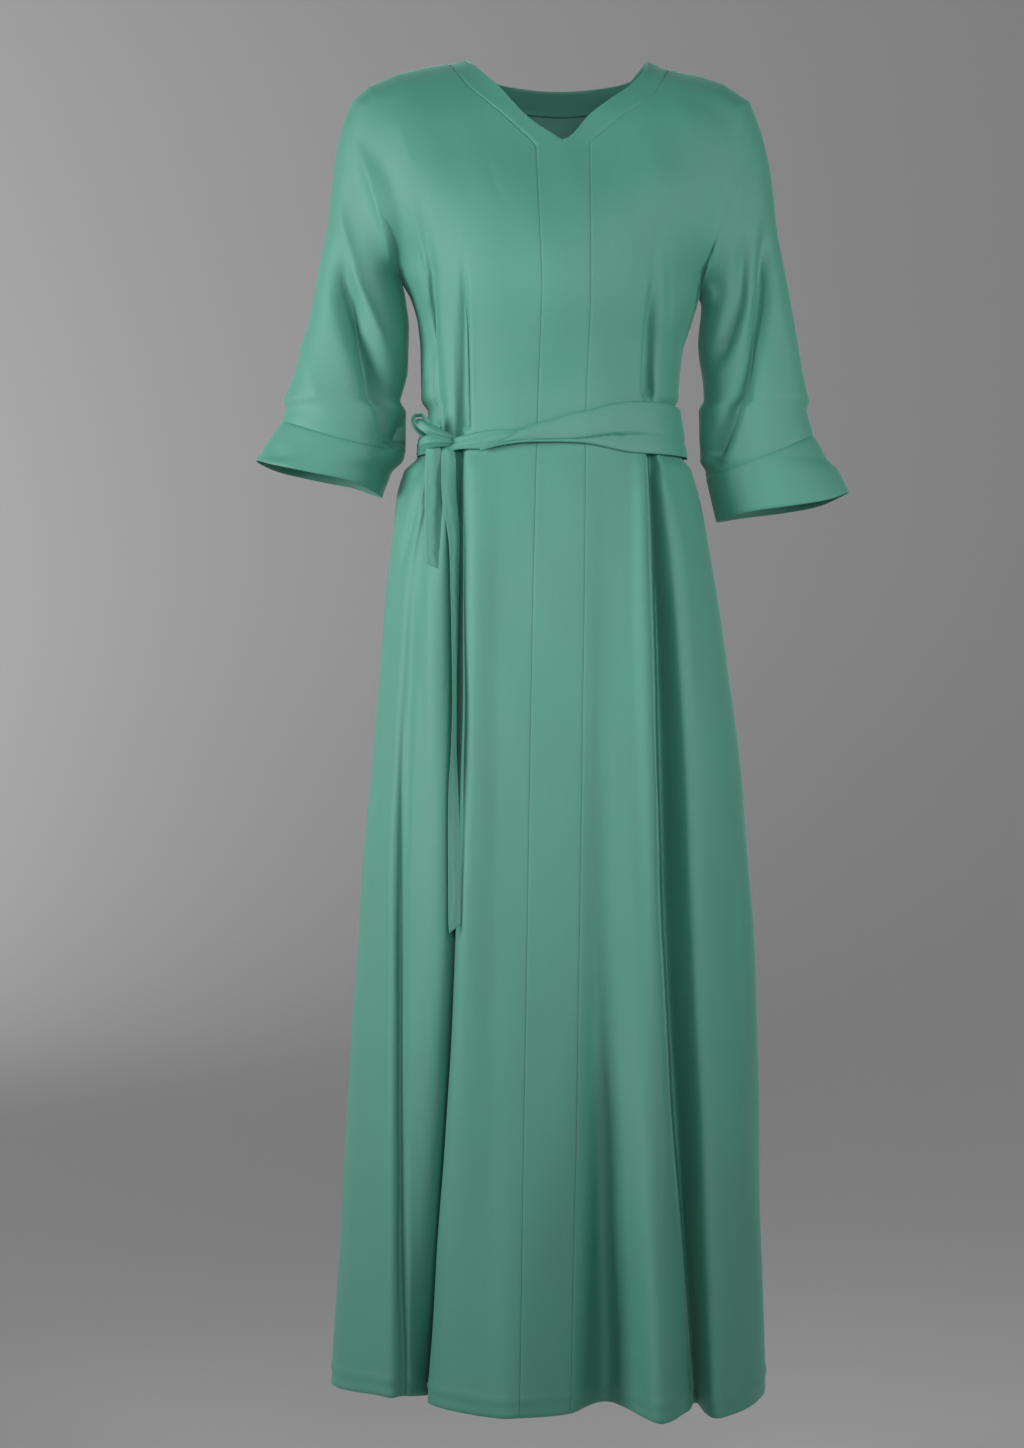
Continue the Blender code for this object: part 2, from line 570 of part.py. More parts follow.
def strip(name, rows):
    """A flat tie end hanging down in front of the skirt."""
    rows = np.array(rows, float)
    grid = []
    for x, z, width, turn in rows:
        _, y, _ = on_section(x, z, -1, BELT_STANDOFF + TIE_STANDOFF)
        y -= width / 2 * abs(np.sin(np.radians(turn)))
        across = np.array([np.cos(np.radians(turn)), np.sin(np.radians(turn)), 0.0]) * width / 2
        middle = np.array([x, y, z])
        grid.append([middle - across, middle, middle + across])
    cloth(name, [np.array(grid) * MM], [-1])


def loop():
    """The small loop of tie that stands out above the knot."""
    path = smooth_curve(LOOP_OUTLINE, 15)
    rows = [[(x, LOOP_DEPTH + side * LOOP_WIDTH / 2, z) for x, z in path] for side in (-1, 0, 1)]
    cloth("belt_loop", [np.array(rows) * MM], [-1])


def knot():
    """The knot, a soft rounded block flat against the belt."""
    x, z = KNOT_PLACE
    place = np.array(on_section(x, z, -1, BELT_STANDOFF + KNOT_GAP + KNOT_SIZE[1] / 2))
    inner = np.array(on_section(x, z, -1, 0.0))
    out = (place - inner) / np.linalg.norm(place - inner)
    along = np.array([-out[1], out[0], 0.0])
    mesh = bmesh.new()
    bmesh.ops.create_cube(mesh, size=1.0)
    bmesh.ops.subdivide_edges(mesh, edges=mesh.edges, cuts=3, use_grid_fill=True)
    for vert in mesh.verts:
        rounded = vert.co.normalized() / 2 * KNOT_ROUNDNESS + vert.co * (1 - KNOT_ROUNDNESS)
        local = along * rounded[0] * KNOT_SIZE[0] - out * rounded[1] * KNOT_SIZE[1]
        local[2] += rounded[2] * KNOT_SIZE[2]
        vert.co = Vector(place + local) * MM
    bmesh.ops.recalc_face_normals(mesh, faces=mesh.faces)
    finish_piece("belt_knot", mesh)


for old in list(bpy.data.objects):
    bpy.data.objects.remove(old, do_unlink=True)
collection = bpy.data.collections.new("kaftan_dress")
bpy.context.scene.collection.children.link(collection)
dress_body()
belt()
knot()
loop()
strip("belt_tie_end_long", LONG_END)
strip("belt_tie_end_short", SHORT_END)
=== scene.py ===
# %% [markdown]
# # A long satin crepe dress, tied at the waist
#
# This lesson makes the looks of one garment: a loose, nearly ankle-long dress in plain green satin
# crepe. The real one is cut flat and sewn: two fronts with half of each sleeve cut in one with them,
# a straight panel down the centre front, a back, three pieces of neck band, two cuffs and a tie belt.
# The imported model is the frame: it says how large every piece is and where it lies. Each piece here
# is a thin shell on its solid's form, with folds and seams too fine for that solid.

# %% Load the frame
import math

import bpy
import numpy as np
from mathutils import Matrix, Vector


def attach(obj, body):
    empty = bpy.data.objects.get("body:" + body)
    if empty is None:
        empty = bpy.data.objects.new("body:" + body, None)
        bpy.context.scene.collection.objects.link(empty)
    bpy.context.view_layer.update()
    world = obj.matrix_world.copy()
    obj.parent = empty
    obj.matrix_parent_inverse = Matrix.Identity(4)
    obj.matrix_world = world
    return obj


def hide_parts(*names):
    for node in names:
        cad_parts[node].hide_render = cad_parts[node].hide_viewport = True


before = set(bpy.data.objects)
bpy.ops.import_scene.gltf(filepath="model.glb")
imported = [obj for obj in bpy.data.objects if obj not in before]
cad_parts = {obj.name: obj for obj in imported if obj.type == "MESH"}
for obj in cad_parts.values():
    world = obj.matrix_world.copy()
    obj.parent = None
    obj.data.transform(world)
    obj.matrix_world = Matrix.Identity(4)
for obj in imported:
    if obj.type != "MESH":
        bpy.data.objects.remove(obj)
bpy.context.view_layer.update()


def new_object(name, data):
    """An object in the scene for a mesh, light or camera."""
    made = bpy.data.objects.new(name, data)
    bpy.context.scene.collection.objects.link(made)
    return made


# %% [markdown]
# ## Camera
#
# The picture is taken level and square to the front from 3.4 m away, with the camera as high as the
# thighs. The plane of the side seams then shows 1.448 m from the picture's top to its bottom, so one
# millimetre there is one pixel of the 1448. The lens follows from that.

# %% Camera
DISTANCE = 3.4
AIM = Vector((-0.040, 0.0, -0.654))
AIM_X, AIM_Z = AIM.x * 1000, AIM.z * 1000      # the same in millimetres
SEEN_HEIGHT = 1.448
SENSOR = 36.0
lens = bpy.data.cameras.new("camera")
lens.sensor_width = SENSOR
lens.lens = SENSOR * DISTANCE / SEEN_HEIGHT
camera = new_object("camera", lens)
camera.location = AIM - Vector((0, DISTANCE, 0))
camera.rotation_euler = (math.radians(90), 0, 0)
bpy.context.scene.camera = camera
print("camera", tuple(camera.location), "lens", round(lens.lens, 2), "mm")

# %% [markdown]
# ## The dress's own sizes
#
# All tables are in millimetres, as a pattern cutter would note them: x to the wearer's left, y to the
# back, z up, from a point between the shoulders. The first table gives the worn width and depth of
# the body at some heights. Named lines then run down the front and the back, each with its place and
# how far it lies inside (+) or outside (-) the plain oval section at five levels. Ridges and hollows
# are made by lines that lie out or in, so a fold is a word in a table and can be moved by hand.

# %% Sizes of the body
MM = 0.001
ROUND = 2.3                 # section shape: 2 is an ellipse, more is squarer
SHOULDER_RADIUS = 65.0      # reach of the rounding from a sleeve or shoulder edge
SLEEVE_DEPTH = 58.0         # half the depth of a sleeve, front to back
BLEND_START = 20            # the sleeve's depth starts to grow this far outside the armhole
BLEND_REACH = 90            # and is the body's depth this much further in
BODICE_END = -215           # below this the bodice's rolled edge keeps its reach
HANDOVER_START = 45         # the plain section takes over from this far above the underarm
HANDOVER_REACH = 80         # down to this much lower
BODY = [
    # level, side_right, side_left, front, back
    (40, -190, 190, 30, 40),
    (-40, -185, 185, 66, 80),
    (-84, -180, 180, 81, 92),
    (-140, -172, 170, 106, 101),
    (-190, -160, 158, 121, 101),
    (-210, -151, 151, 124, 100),
    (-230, -140, 146, 124, 97),
    (-256, -133, 138, 118, 90),
    (-284, -131, 130, 110, 82),
    (-340, -131, 126, 100, 70),
    (-380, -138, 133, 101, 76),
    (-405, -149, 140, 106, 86),
    (-430, -156, 147, 111, 97),
    (-480, -160, 156, 119, 110),
    (-580, -169, 173, 129, 124),
    (-730, -183, 191, 140, 138),
    (-930, -198, 204, 152, 154),
    (-1130, -209, 207, 163, 169),
    (-1312, -221, 213, 172, 182),
]
LEVELS = (("hem", -1312), ("knee", -830), ("hip", -500), ("waist", -350), ("bust", -240))
HEM = LEVELS[0][1]
print("body levels:", len(BODY), "fold levels:", [name for name, _ in LEVELS])

# %% Lines down the front and the back
FRONT_LINES = [
    # name, cells, top, x: bust, waist, hip, knee, hem, in: bust, waist, hip, knee, hem, lift
    ("right_side", 12, -200, None, None, None, None, None, 0, 0, 0, 0, 0, 2),
    ("side_trough", 10, -184, -129, -121, -150, -171, -184, 1, 3, 3, 4, 14, 8),
    ("side_ridge", 8, -166, -123, -116, -142, -157, -158, -1, -1, -2, -3, 8, 9),
    ("small_trough", 8, -152, -117, -111, -132, -145, -146, 2, 5, 4, 8, 26, 9),
    ("small_ridge", 8, -138, -109, -104, -120, -135, -137, -1, -2, -1, 1, 31, 9),
    ("pleat_outer", 12, -126, -98, -96, -103, -102, -120, 0, 0, 1, 3, 70, 4),
    ("pleat_root", 14, -115, -89, -88, -92, -94, -92, 0.3, 6, 52, 72, 132, 0),
    ("pleat_edge", 16, -105, -83, -83, -82, -90, -122, 0, -1, -3, -2, 36, 3),
    ("front_crest", 14, -52, -46, -47, -50, -54, -62, 0, 0, 0, 0, 2, -1),
    ("right_panel_seam", 24, -16.6, -11, -15, -19, -25, -33, 0, 0, 0, 0, -4, 0),
    ("left_panel_seam", 14, 36.2, 36, 32, 30, 25, 16, 0, 0, 0, 0, 18, 0),
    ("hem_trough", 12, 58, 56, 53, 51, 45, 53, 0, 0, 2, 7, 58, 3),
    ("hem_ridge", 12, 84, 76, 74, 74, 82, 98, 0, 0, 0, -5, -32, -2),
    ("tuck_edge", 12, 106, 90, 88, 91, 99, 129, 0, -1, -5, -5, 0, 0),
    ("tuck_root", 12, 118.5, 95, 93, 99, 107, 138, 0.6, 7, 38, 40, 38, 0),
    ("tuck_ridge", 12, 143, 106, 103, 117, 135, 151, 0, -1, -4, -5, -22, -4),
    ("side_ridge_left", 14, 172, 126, 115, 147, 171, 180, 0, 0, -2, -6, -22, -4),
    ("left_side", 0, 197, None, None, None, None, None, 0, 0, 0, 0, 0, 2),
]
BACK_LINES = [
    ("right_side", 9, -200, None, None, None, None, None, 0, 0, 0, 0, 0, 2),
    ("side_panel_right", 7, -184, -128, -122, -146, -178, -196, 0, 2, 3, 4, 8, 3),
    ("outer_trough_right", 6, -152, -112, -108, -129, -150, -167, 0, 6, 10, 14, 26, 4),
    ("gather_right", 6, -126, -100, -95, -112, -130, -146, 0, 1, 2, 2, 2, 2),
    ("outer_ridge_right", 8, -105, -88, -82, -94, -110, -124, -1, -3, -5, -8, -14, 0),
    ("inner_trough_right", 8, -66, -58, -54, -60, -72, -80, 1, 7, 9, 12, 24, 4),
    ("inner_ridge_right", 8, -34, -30, -26, -30, -34, -40, 0, -3, -5, -8, -12, 0),
    ("middle_trough", 8, 5, 6, 6, 4, 2, 0, 1, 6, 7, 10, 18, 3),
    ("inner_ridge_left", 8, 46, 38, 34, 36, 42, 44, 0, -3, -5, -8, -14, 0),
    ("inner_trough_left", 8, 80, 66, 58, 68, 80, 84, 1, 7, 9, 12, 22, 4),
    ("outer_ridge_left", 6, 118.5, 92, 82, 98, 114, 122, -1, -3, -5, -8, -14, 0),
    ("outer_trough_left", 7, 143, 112, 102, 122, 142, 152, 0, 6, 9, 12, 24, 4),
    ("side_panel_left", 9, 172, 127, 116, 144, 172, 184, 0, 2, 3, 4, 8, 3),
    ("left_side", 0, 197, None, None, None, None, None, 0, 0, 0, 0, 0, 2),
]
CELLS, TOP, FIRST_X, FIRST_IN, LIFT = 1, 2, 3, 8, 13
SEWN_LINES = ("right_side", "right_panel_seam", "left_panel_seam", "left_side")
print("front lines:", len(FRONT_LINES), "back lines:", len(BACK_LINES))

# %% Outlines of shoulders, sleeves, cuffs and neck
SHOULDER_RIGHT = [(-105, 4), (-126, 0.5), (-152, -5.5), (-184, -18.5), (-200, -34)]
SHOULDER_LEFT = [(118.5, -1.5), (143, -6.5), (172, -17), (197, -34)]
SLEEVE_TOP_RIGHT = [(-200, -34), (-211, -64), (-218, -105), (-224, -150), (-234, -205),
                    (-243, -255), (-257, -305), (-277, -352)]
SLEEVE_TOP_LEFT = [(197, -34), (208, -64), (218, -105), (225, -155), (233, -205),
                   (242, -255), (251, -305), (267, -366)]
SLEEVE_UNDER_RIGHT = [(-151, -210), (-147, -230), (-144, -258), (-146, -300), (-153, -335),
                      (-154, -384)]
SLEEVE_UNDER_LEFT = [(147, -226), (150, -236), (147, -275), (152, -320), (153, -355), (154, -407)]
CUFF_RIGHT = [(-302, -391), (-281, -397), (-238, -406), (-200, -414), (-169, -427)]
CUFF_LEFT = [(165, -451), (191, -445), (240, -438), (272, -432), (296.6, -422)]
CUFF_FLARE = 1.12           # depth of a cuff's open end against its seam
CUFF_SEAM_SAG = 5.0         # the cuff seam's middle hangs below its ends' line
NECK_SEAM = [(-105, 4), (-85, -25), (-51, -55), (-23, -82), (-16.6, -90.3), (8.7, -83.7),
             (36.2, -86.4), (42, -80.5), (72, -55), (98.7, -36), (106, -26), (118.5, -1.5)]
NECK_EDGE_RIGHT = [(-85.5, 10.4), (-82, 4), (-56, -24), (-23, -61), (0, -78), (8.7, -83.7)]
NECK_EDGE_LEFT = [(8.7, -83.7), (15.7, -80.5), (35.6, -58), (58.7, -39), (81.3, -20), (93.3, -2),
                  (95, 8)]
BACK_NECK_SEAM = [(-105, 4), (-84, -17), (-45, -29), (6, -33), (55, -31), (98, -20),
                  (118.5, -1.5)]
BACK_NECK_EDGE = [(-85.5, 10.4), (-68, -1), (-36, -8), (6, -11), (48, -9), (80, -3), (95, 8)]
NECK_BRIDGE = [(-85.5, 10.4), (-40, 26), (5, 30), (50, 25), (95, 8)]
print("cuffs are", [round(abs(c[-1][0] - c[0][0])) for c in (CUFF_RIGHT, CUFF_LEFT)], "mm across")

# %% [markdown]
# ## Small tools for smooth shapes
#
# Cloth has no corners, so every table is read through a smooth curve. A monotone cubic never
# overshoots its rows, which keeps heights and widths where they were measured. Between the named
# lines of a panel a Catmull-Rom spline rounds the folds instead, because folds may swing past.

# %% Smooth curves through tables
def smooth_table(keys, values, at):
    """Monotone cubic through a table, flat beyond its ends."""
    keys, values = np.asarray(keys, float), np.asarray(values, float)
    at = np.clip(np.asarray(at, float), keys[0], keys[-1])
    step = np.diff(keys)
    slope = np.diff(values) / step
    tangent = np.zeros(len(keys))
    tangent[0], tangent[-1] = slope[0], slope[-1]
    for i in range(1, len(keys) - 1):
        if slope[i - 1] * slope[i] > 0:
            first, second = 2 * step[i] + step[i - 1], step[i] + 2 * step[i - 1]
            tangent[i] = (first + second) / (first / slope[i - 1] + second / slope[i])
    cell = np.clip(np.searchsorted(keys, at, side="right") - 1, 0, len(keys) - 2)
    t = (at - keys[cell]) / step[cell]
    return ((2 * t**3 - 3 * t**2 + 1) * values[cell] + (t**3 - 2 * t**2 + t) * step[cell] * tangent[cell]
            + (3 * t**2 - 2 * t**3) * values[cell + 1] + (t**3 - t**2) * step[cell] * tangent[cell + 1])


def reach_along(points):
    """Length along a line of points, from 0 at its first."""
    return np.concatenate([[0], np.cumsum(np.linalg.norm(np.diff(points, axis=0), axis=1))])


def smooth_curve(points, shares):
    """Points of a smooth curve at shares of its length; a whole number asks for even spacing."""
    points = np.asarray(points, float)
    if np.isscalar(shares):
        shares = np.linspace(0, 1, shares)
    reach = reach_along(points)
    return np.stack([smooth_table(reach, column, shares * reach[-1]) for column in points.T], axis=-1)


def through_lines(values, steps):
    """Catmull-Rom values between neighbouring lines, at each line's own steps."""
    padded = [2 * values[0] - values[1]] + list(values) + [2 * values[-1] - values[-2]]
    result = []
    for i, cells in enumerate(steps):
        before, start, end, after = padded[i:i + 4]
        for t in cells:
            result.append(0.5 * (2 * start + (end - before) * t
                                 + (2 * before - 5 * start + 4 * end - after) * t**2
                                 + (3 * start - before - 3 * end + after) * t**3))
    result.append(values[-1])
    return np.array(result)


def unit(vectors):
    """The same vectors, each one long."""
    return vectors / np.maximum(np.linalg.norm(vectors, axis=-1, keepdims=True), 1e-12)


def ease(t):
    """0 to 1 with a soft start and end."""
    t = np.clip(t, 0, 1)
    return t * t * (3 - 2 * t)


# %% The plain form of the body and sleeves
def rounding(distance, reach):
    """How full the cloth is at a distance inside an edge that it rolls over."""
    t = np.clip(distance / reach, 0, 1)
    return (1 - (1 - t) ** ROUND) ** (1 / ROUND)


def distance_to(line, x, z):
    """Distance from points (x, z) to the nearest place on a line."""
    best = np.full(np.shape(x), np.inf)
    for (ax, az), (bx, bz) in zip(line[:-1], line[1:]):
        dx, dz = bx - ax, bz - az
        t = np.clip(((x - ax) * dx + (z - az) * dz) / max(dx * dx + dz * dz, 1e-9), 0, 1)
        best = np.minimum(best, np.hypot(x - ax - t * dx, z - az - t * dz))
    return best


def body(column, z):
    """A BODY column at height z: 1 right side, 2 left side, 3 front, 4 back."""
    return smooth_table([row[0] for row in BODY[::-1]], [row[column] for row in BODY[::-1]], z)


def section(x, z, face):
    """Depth of the plain body section; face is -1 for the front, +1 for the back."""
    right, left = body(1, z), body(2, z)
    across = np.abs((x - (left + right) / 2) / ((left - right) / 2))
    deep = np.where(np.asarray(face) < 0, body(3, z), body(4, z))
    return face * deep * (1 - np.minimum(across, 1) ** ROUND) ** (1 / ROUND)


TOP_LINE = np.concatenate([
    smooth_curve(SLEEVE_TOP_RIGHT[::-1], 60), SHOULDER_RIGHT[::-1], smooth_curve(NECK_BRIDGE, 16),
    SHOULDER_LEFT, smooth_curve(SLEEVE_TOP_LEFT, 60)])
SIDE_END = -700             # the side lines are followed down to here
UNDER_RIGHT, UNDER_LEFT = [
    list(map(tuple, smooth_curve(line[::-1], 40)))
    + [(float(body(column, z)), z) for z in range(line[0][1], SIDE_END, -10)]
    for column, line in ((1, SLEEVE_UNDER_RIGHT), (2, SLEEVE_UNDER_LEFT))]
ARMHOLES = [(SLEEVE_TOP_RIGHT[0], SLEEVE_UNDER_RIGHT[0]), (SLEEVE_TOP_LEFT[0], SLEEVE_UNDER_LEFT[0])]


def inside_armhole(x, z, armhole, towards):
    """Signed distance from an armhole's line, positive on the body's side."""
    (ax, az), (bx, bz) = armhole
    return towards * -((x - ax) * (bz - az) - (z - az) * (bx - ax)) / np.hypot(bx - ax, bz - az)


def upper_depth(x, z, face):
    """Depth of the bodice and sleeves, rolled over every edge of the outline."""
    body_share = 1
    for armhole, towards in zip(ARMHOLES, (1, -1)):
        body_share = body_share * ease((inside_armhole(x, z, armhole, towards) + BLEND_START) / BLEND_REACH)
    full = SLEEVE_DEPTH + (body(3 if face < 0 else 4, z) - SLEEVE_DEPTH) * body_share
    low = np.minimum(z, BODICE_END)
    half_width = (body(2, low) - body(1, low)) / 2
    reach = SHOULDER_RADIUS + (half_width - SHOULDER_RADIUS) * body_share
    return face * full * rounding(distance_to(TOP_LINE, x, z), SHOULDER_RADIUS) \
        * rounding(distance_to(UNDER_RIGHT, x, z), reach) * rounding(distance_to(UNDER_LEFT, x, z), reach)


def depth(x, z, face, underarm):
    """The bodice's depth, handing over to the plain section at the underarm."""
    share = ease((underarm + HANDOVER_START - z) / HANDOVER_REACH)
    return (1 - share) * upper_depth(x, z, face) + share * section(x, z, face)


print("chest depth at z -190:", round(float(section(0, -190, 1) - section(0, -190, -1))), "mm")

# %% [markdown]
# ## The whole dress as sheets of points
#
# Every panel is a grid of points: rows across, columns down the cloth. All grids share the points on
# their seams, so the dress is one closed surface first and is cut into its pieces afterwards. That
# way two pieces can never part along a seam, and both lean the same way there.

# %% Grids of the torso
UPPER_ROWS = 64             # between the shoulder and the underarm, and across a sleeve
LOWER_ROWS = 276            # between the underarm and the hem
SLEEVE_ROWS = 84
TIGHT = 1.8                 # how strongly columns crowd towards a seam
FOLDS_START = 0.55          # share of the way from shoulder to underarm where folds begin
LOOKUP = np.linspace(HEM - 20, -190, 700)      # heights at which the fold tables are read
SEAM_EASE = 1.5             # lines in from a side seam over which rows even out


def fine_steps(lines):
    """Steps between neighbouring lines, crowded towards the sewn ones."""
    steps = []
    for row, following in zip(lines[:-1], lines[1:]):
        t = np.arange(row[CELLS]) / row[CELLS]
        starts, ends = row[0] in SEWN_LINES, following[0] in SEWN_LINES
        if starts and ends:
            t = ease(t)
        elif starts:
            t = t ** TIGHT
        elif ends:
            t = 1 - (1 - t) ** TIGHT
        steps.append(t)
    return steps


def line_values(lines, first_column):
    """One row of values over LOOKUP's heights for each line with a place of its own."""
    names = ["bust", "waist", "hip", "knee", "hem"]
    heights = [level for _, level in LEVELS]
    result = []
    for row in lines:
        values = [row[first_column + names.index(name)] for name, _ in LEVELS]
        result.append(None if values[0] is None else smooth_table(heights, values, LOOKUP))
    return result


def lower_tables(lines, steps):
    """x and inward depth of every column over LOOKUP's heights."""
    right, left = body(1, LOOKUP), body(2, LOOKUP)
    middle, half = (left + right) / 2, (left - right) / 2
    quarter = np.full(len(LOOKUP), np.pi / 2)
    places = line_values(lines, FIRST_X)[1:-1]
    angles = [-quarter] + [np.arcsin(np.clip((x - middle) / half, -1, 1)) for x in places] + [quarter]
    return middle + half * np.sin(through_lines(angles, steps)), \
        through_lines(line_values(lines, FIRST_IN), steps)


def top_height(x, seam):
    """Height of the shoulder or neck seam at x."""
    line = SHOULDER_RIGHT[::-1] + seam[1:-1] + SHOULDER_LEFT
    return np.interp(x, [p[0] for p in line], [p[1] for p in line])


def torso(lines, face, seam):
    """Grid of points, shoulder to hem, right side to left side, and each line's column."""
    steps = fine_steps(lines)
    columns = np.concatenate([[0], np.cumsum([len(t) for t in steps])])
    along_lines = np.append(np.concatenate([i + t for i, t in enumerate(steps)]), len(steps))
    share = along_lines / len(steps)
    underarm = SLEEVE_UNDER_RIGHT[0][1] + (SLEEVE_UNDER_LEFT[0][1] - SLEEVE_UNDER_RIGHT[0][1]) * share
    tops = through_lines([float(row[TOP]) for row in lines], steps)
    lifts = through_lines([float(row[LIFT]) for row in lines], steps)
    table_x, table_in = lower_tables(lines, steps)
    at_underarm = [[np.interp(z, LOOKUP, column) for z, column in zip(underarm, table)]
                   for table in (table_x, table_in)]
    bottoms, folds = np.array(at_underarm[0]), np.array(at_underarm[1])
    bottoms[0], bottoms[-1] = SLEEVE_UNDER_RIGHT[0][0], SLEEVE_UNDER_LEFT[0][0]

    row = np.arange(UPPER_ROWS)[:, None] / UPPER_ROWS
    inward = ease(np.minimum(along_lines, len(steps) - along_lines) / SEAM_EASE)
    along = (1 - inward) * (1 - np.cos(np.pi * row)) / 2 + inward * (1 - np.cos(np.pi / 2 * row))
    x = tops + (bottoms - tops) * along
    top = top_height(tops, seam)
    z = top + (underarm - top) * along
    y = depth(x, z, face, underarm) - face * folds * ease((along - FOLDS_START) / (1 - FOLDS_START))
    on_shoulder = (x[0] <= SHOULDER_RIGHT[0][0]) | (x[0] >= SHOULDER_LEFT[0][0])
    y[0, on_shoulder] = 0.0
    upper = np.stack([x, y, z], axis=-1)

    z = underarm + (HEM + lifts - underarm) * np.linspace(0, 1, LOWER_ROWS + 1)[:, None]
    x = np.stack([np.interp(z[:, j], LOOKUP, table_x[j]) for j in range(len(tops))], axis=1)
    fold = np.stack([np.interp(z[:, j], LOOKUP, table_in[j]) for j in range(len(tops))], axis=1)
    x[0] = bottoms
    lower = np.stack([x, depth(x, z, face, underarm) - face * fold, z], axis=-1)
    grid = np.concatenate([upper, lower])
    for j in (0, -1):
        edge = grid[:UPPER_ROWS + 1, j]
        edge[:, 1] = upper_depth(edge[:, 0], edge[:, 2], face)
    grid[UPPER_ROWS:, 0, 1] = grid[UPPER_ROWS:, -1, 1] = 0.0
    grid[0, 0, 1] = grid[0, -1, 1] = 0.0
    return grid, dict(zip([row[0] for row in lines], columns))


front, front_at = torso(FRONT_LINES, -1, NECK_SEAM)
back, back_at = torso(BACK_LINES, 1, BACK_NECK_SEAM)
print("front grid", front.shape[:2], "back grid", back.shape[:2])

# %% Grids of sleeves, cuffs and neck bands
CUFF_ROWS = 16
BAND_ROWS = 10


def sleeve(top_line, under_line, face, outer_first):
    """Grid of points, armhole to cuff seam; columns run along +X."""
    outer = smooth_curve(top_line, SLEEVE_ROWS + 1)[:, None]
    inner = smooth_curve(under_line, SLEEVE_ROWS + 1)[:, None]
    across = (1 - np.cos(np.linspace(0, np.pi, UPPER_ROWS + 1)))[None, :, None] / 2
    place = outer + (inner - outer) * across
    x, z = place[..., 0], place[..., 1]
    down = np.linspace(0, 1, SLEEVE_ROWS + 1)[:, None]
    z = z - CUFF_SEAM_SAG * down ** 2 * np.sin(np.pi * across[..., 0])
    y = upper_depth(x, z, face)
    y[:, 0] = y[:, -1] = 0.0
    grid = np.stack([x, y, z], axis=-1)
    return grid if outer_first else grid[:, ::-1]


def cuff(front_seam, back_seam, edge):
    """A flared band round the end of a sleeve, in one closed ring."""
    edge = np.asarray(edge, float)
    reach = (edge[:, 0] - edge[0, 0]) / (edge[-1, 0] - edge[0, 0])
    rims = []
    for seam in (front_seam, back_seam):
        share = (seam[:, 0] - seam[0, 0]) / (seam[-1, 0] - seam[0, 0])
        rims.append(np.stack([smooth_table(reach, edge[:, 0], share), seam[:, 1] * CUFF_FLARE,
                              smooth_table(reach, edge[:, 1], share)], axis=-1))
    seam_ring = np.concatenate([front_seam, back_seam[-2::-1]])
    rim_ring = np.concatenate([rims[0], rims[1][-2::-1]])
    down = np.linspace(0, 1, CUFF_ROWS + 1)[:, None, None]
    return seam_ring + (rim_ring - seam_ring) * down


def neck_band(seam, edge, face):
    """A band from the neck's edge down to the neck seam."""
    reach = reach_along(seam)
    rim = smooth_curve(edge, reach / reach[-1])
    top = np.stack([rim[:, 0], upper_depth(rim[:, 0], rim[:, 1], face), rim[:, 1]], axis=-1)
    for end in (0, -1):
        if seam[end, 1] == 0.0:
            top[end, 1] = 0.0
    return top + (seam - top) * np.linspace(0, 1, BAND_ROWS + 1)[:, None, None]


seam_right, seam_left = front_at["right_panel_seam"], front_at["left_panel_seam"]
sheets = {"front": (front, -1), "back": (back, 1)}
for face, side in ((-1, "front"), (1, "back")):
    sheets["sleeve_right_" + side] = (sleeve(SLEEVE_TOP_RIGHT, SLEEVE_UNDER_RIGHT, face, True), face)
    sheets["sleeve_left_" + side] = (sleeve(SLEEVE_TOP_LEFT, SLEEVE_UNDER_LEFT, face, False), face)
for side, edge in (("right", CUFF_RIGHT), ("left", CUFF_LEFT)):
    seams = [sheets["sleeve_" + side + part][0][-1] for part in ("_front", "_back")]
    sheets["cuff_" + side] = (cuff(*seams, edge), -1)
# where the neck seam runs on each grid's top row
AT_NECK = {
    "band_right": ("front", slice(front_at["pleat_edge"], seam_right + 1)),
    "band_left": ("front", slice(seam_left, front_at["tuck_root"] + 1)),
    "band_back": ("back", slice(back_at["outer_ridge_right"], back_at["outer_ridge_left"] + 1)),
}
for name, edge in (("band_right", NECK_EDGE_RIGHT), ("band_left", NECK_EDGE_LEFT),
                   ("band_back", BACK_NECK_EDGE)):
    panel, span = AT_NECK[name]
    grid, face = sheets[panel]
    sheets[name] = (neck_band(grid[0, span], edge, face), face)
print({name: grid.shape[:2] for name, (grid, _) in sheets.items()})

# %% [markdown]
# ## One surface
#
# Points that two grids share are merged into one by rounding their places to a fine lattice. After
# that a seam is simply where two pieces use the same points.

# %% Weld the grids
WELD = 0.0137               # mm; an odd size, so that round numbers never fall on a lattice edge
stacked = np.concatenate([grid.reshape(-1, 3) for grid, _ in sheets.values()])
_, first, merged = np.unique(np.round(stacked / WELD).astype(np.int64), axis=0,
                             return_index=True, return_inverse=True)
points = stacked[first]
merged = merged.ravel()
place = {}
start = 0
for name, (grid, _) in sheets.items():
    count = grid.shape[0] * grid.shape[1]
    place[name] = merged[start:start + count].reshape(grid.shape[:2])
    start += count


def quads_of(index, face):
    """Four-sided faces of a grid of point numbers, turned to face outwards."""
    above, below = index[:-1], index[1:]
    faces = np.stack([above[:, :-1], below[:, :-1], below[:, 1:], above[:, 1:]], axis=-1).reshape(-1, 4)
    return faces if face < 0 else faces[:, ::-1]


all_quads = np.concatenate([quads_of(place[name], face) for name, (_, face) in sheets.items()])
print("points:", len(points), "of", len(stacked), "faces:", len(all_quads))

# %% [markdown]
# ## An even bodice
#
# The rows and columns of a grid bend where its panel does, and soft light shows every such bend as a
# line down the cloth. So the plain form's depth is also worked out on a square lattice, averaged with
# its neighbours many times, and read back through a cubic spline. Only the difference moves a point,
# so the folds stay.

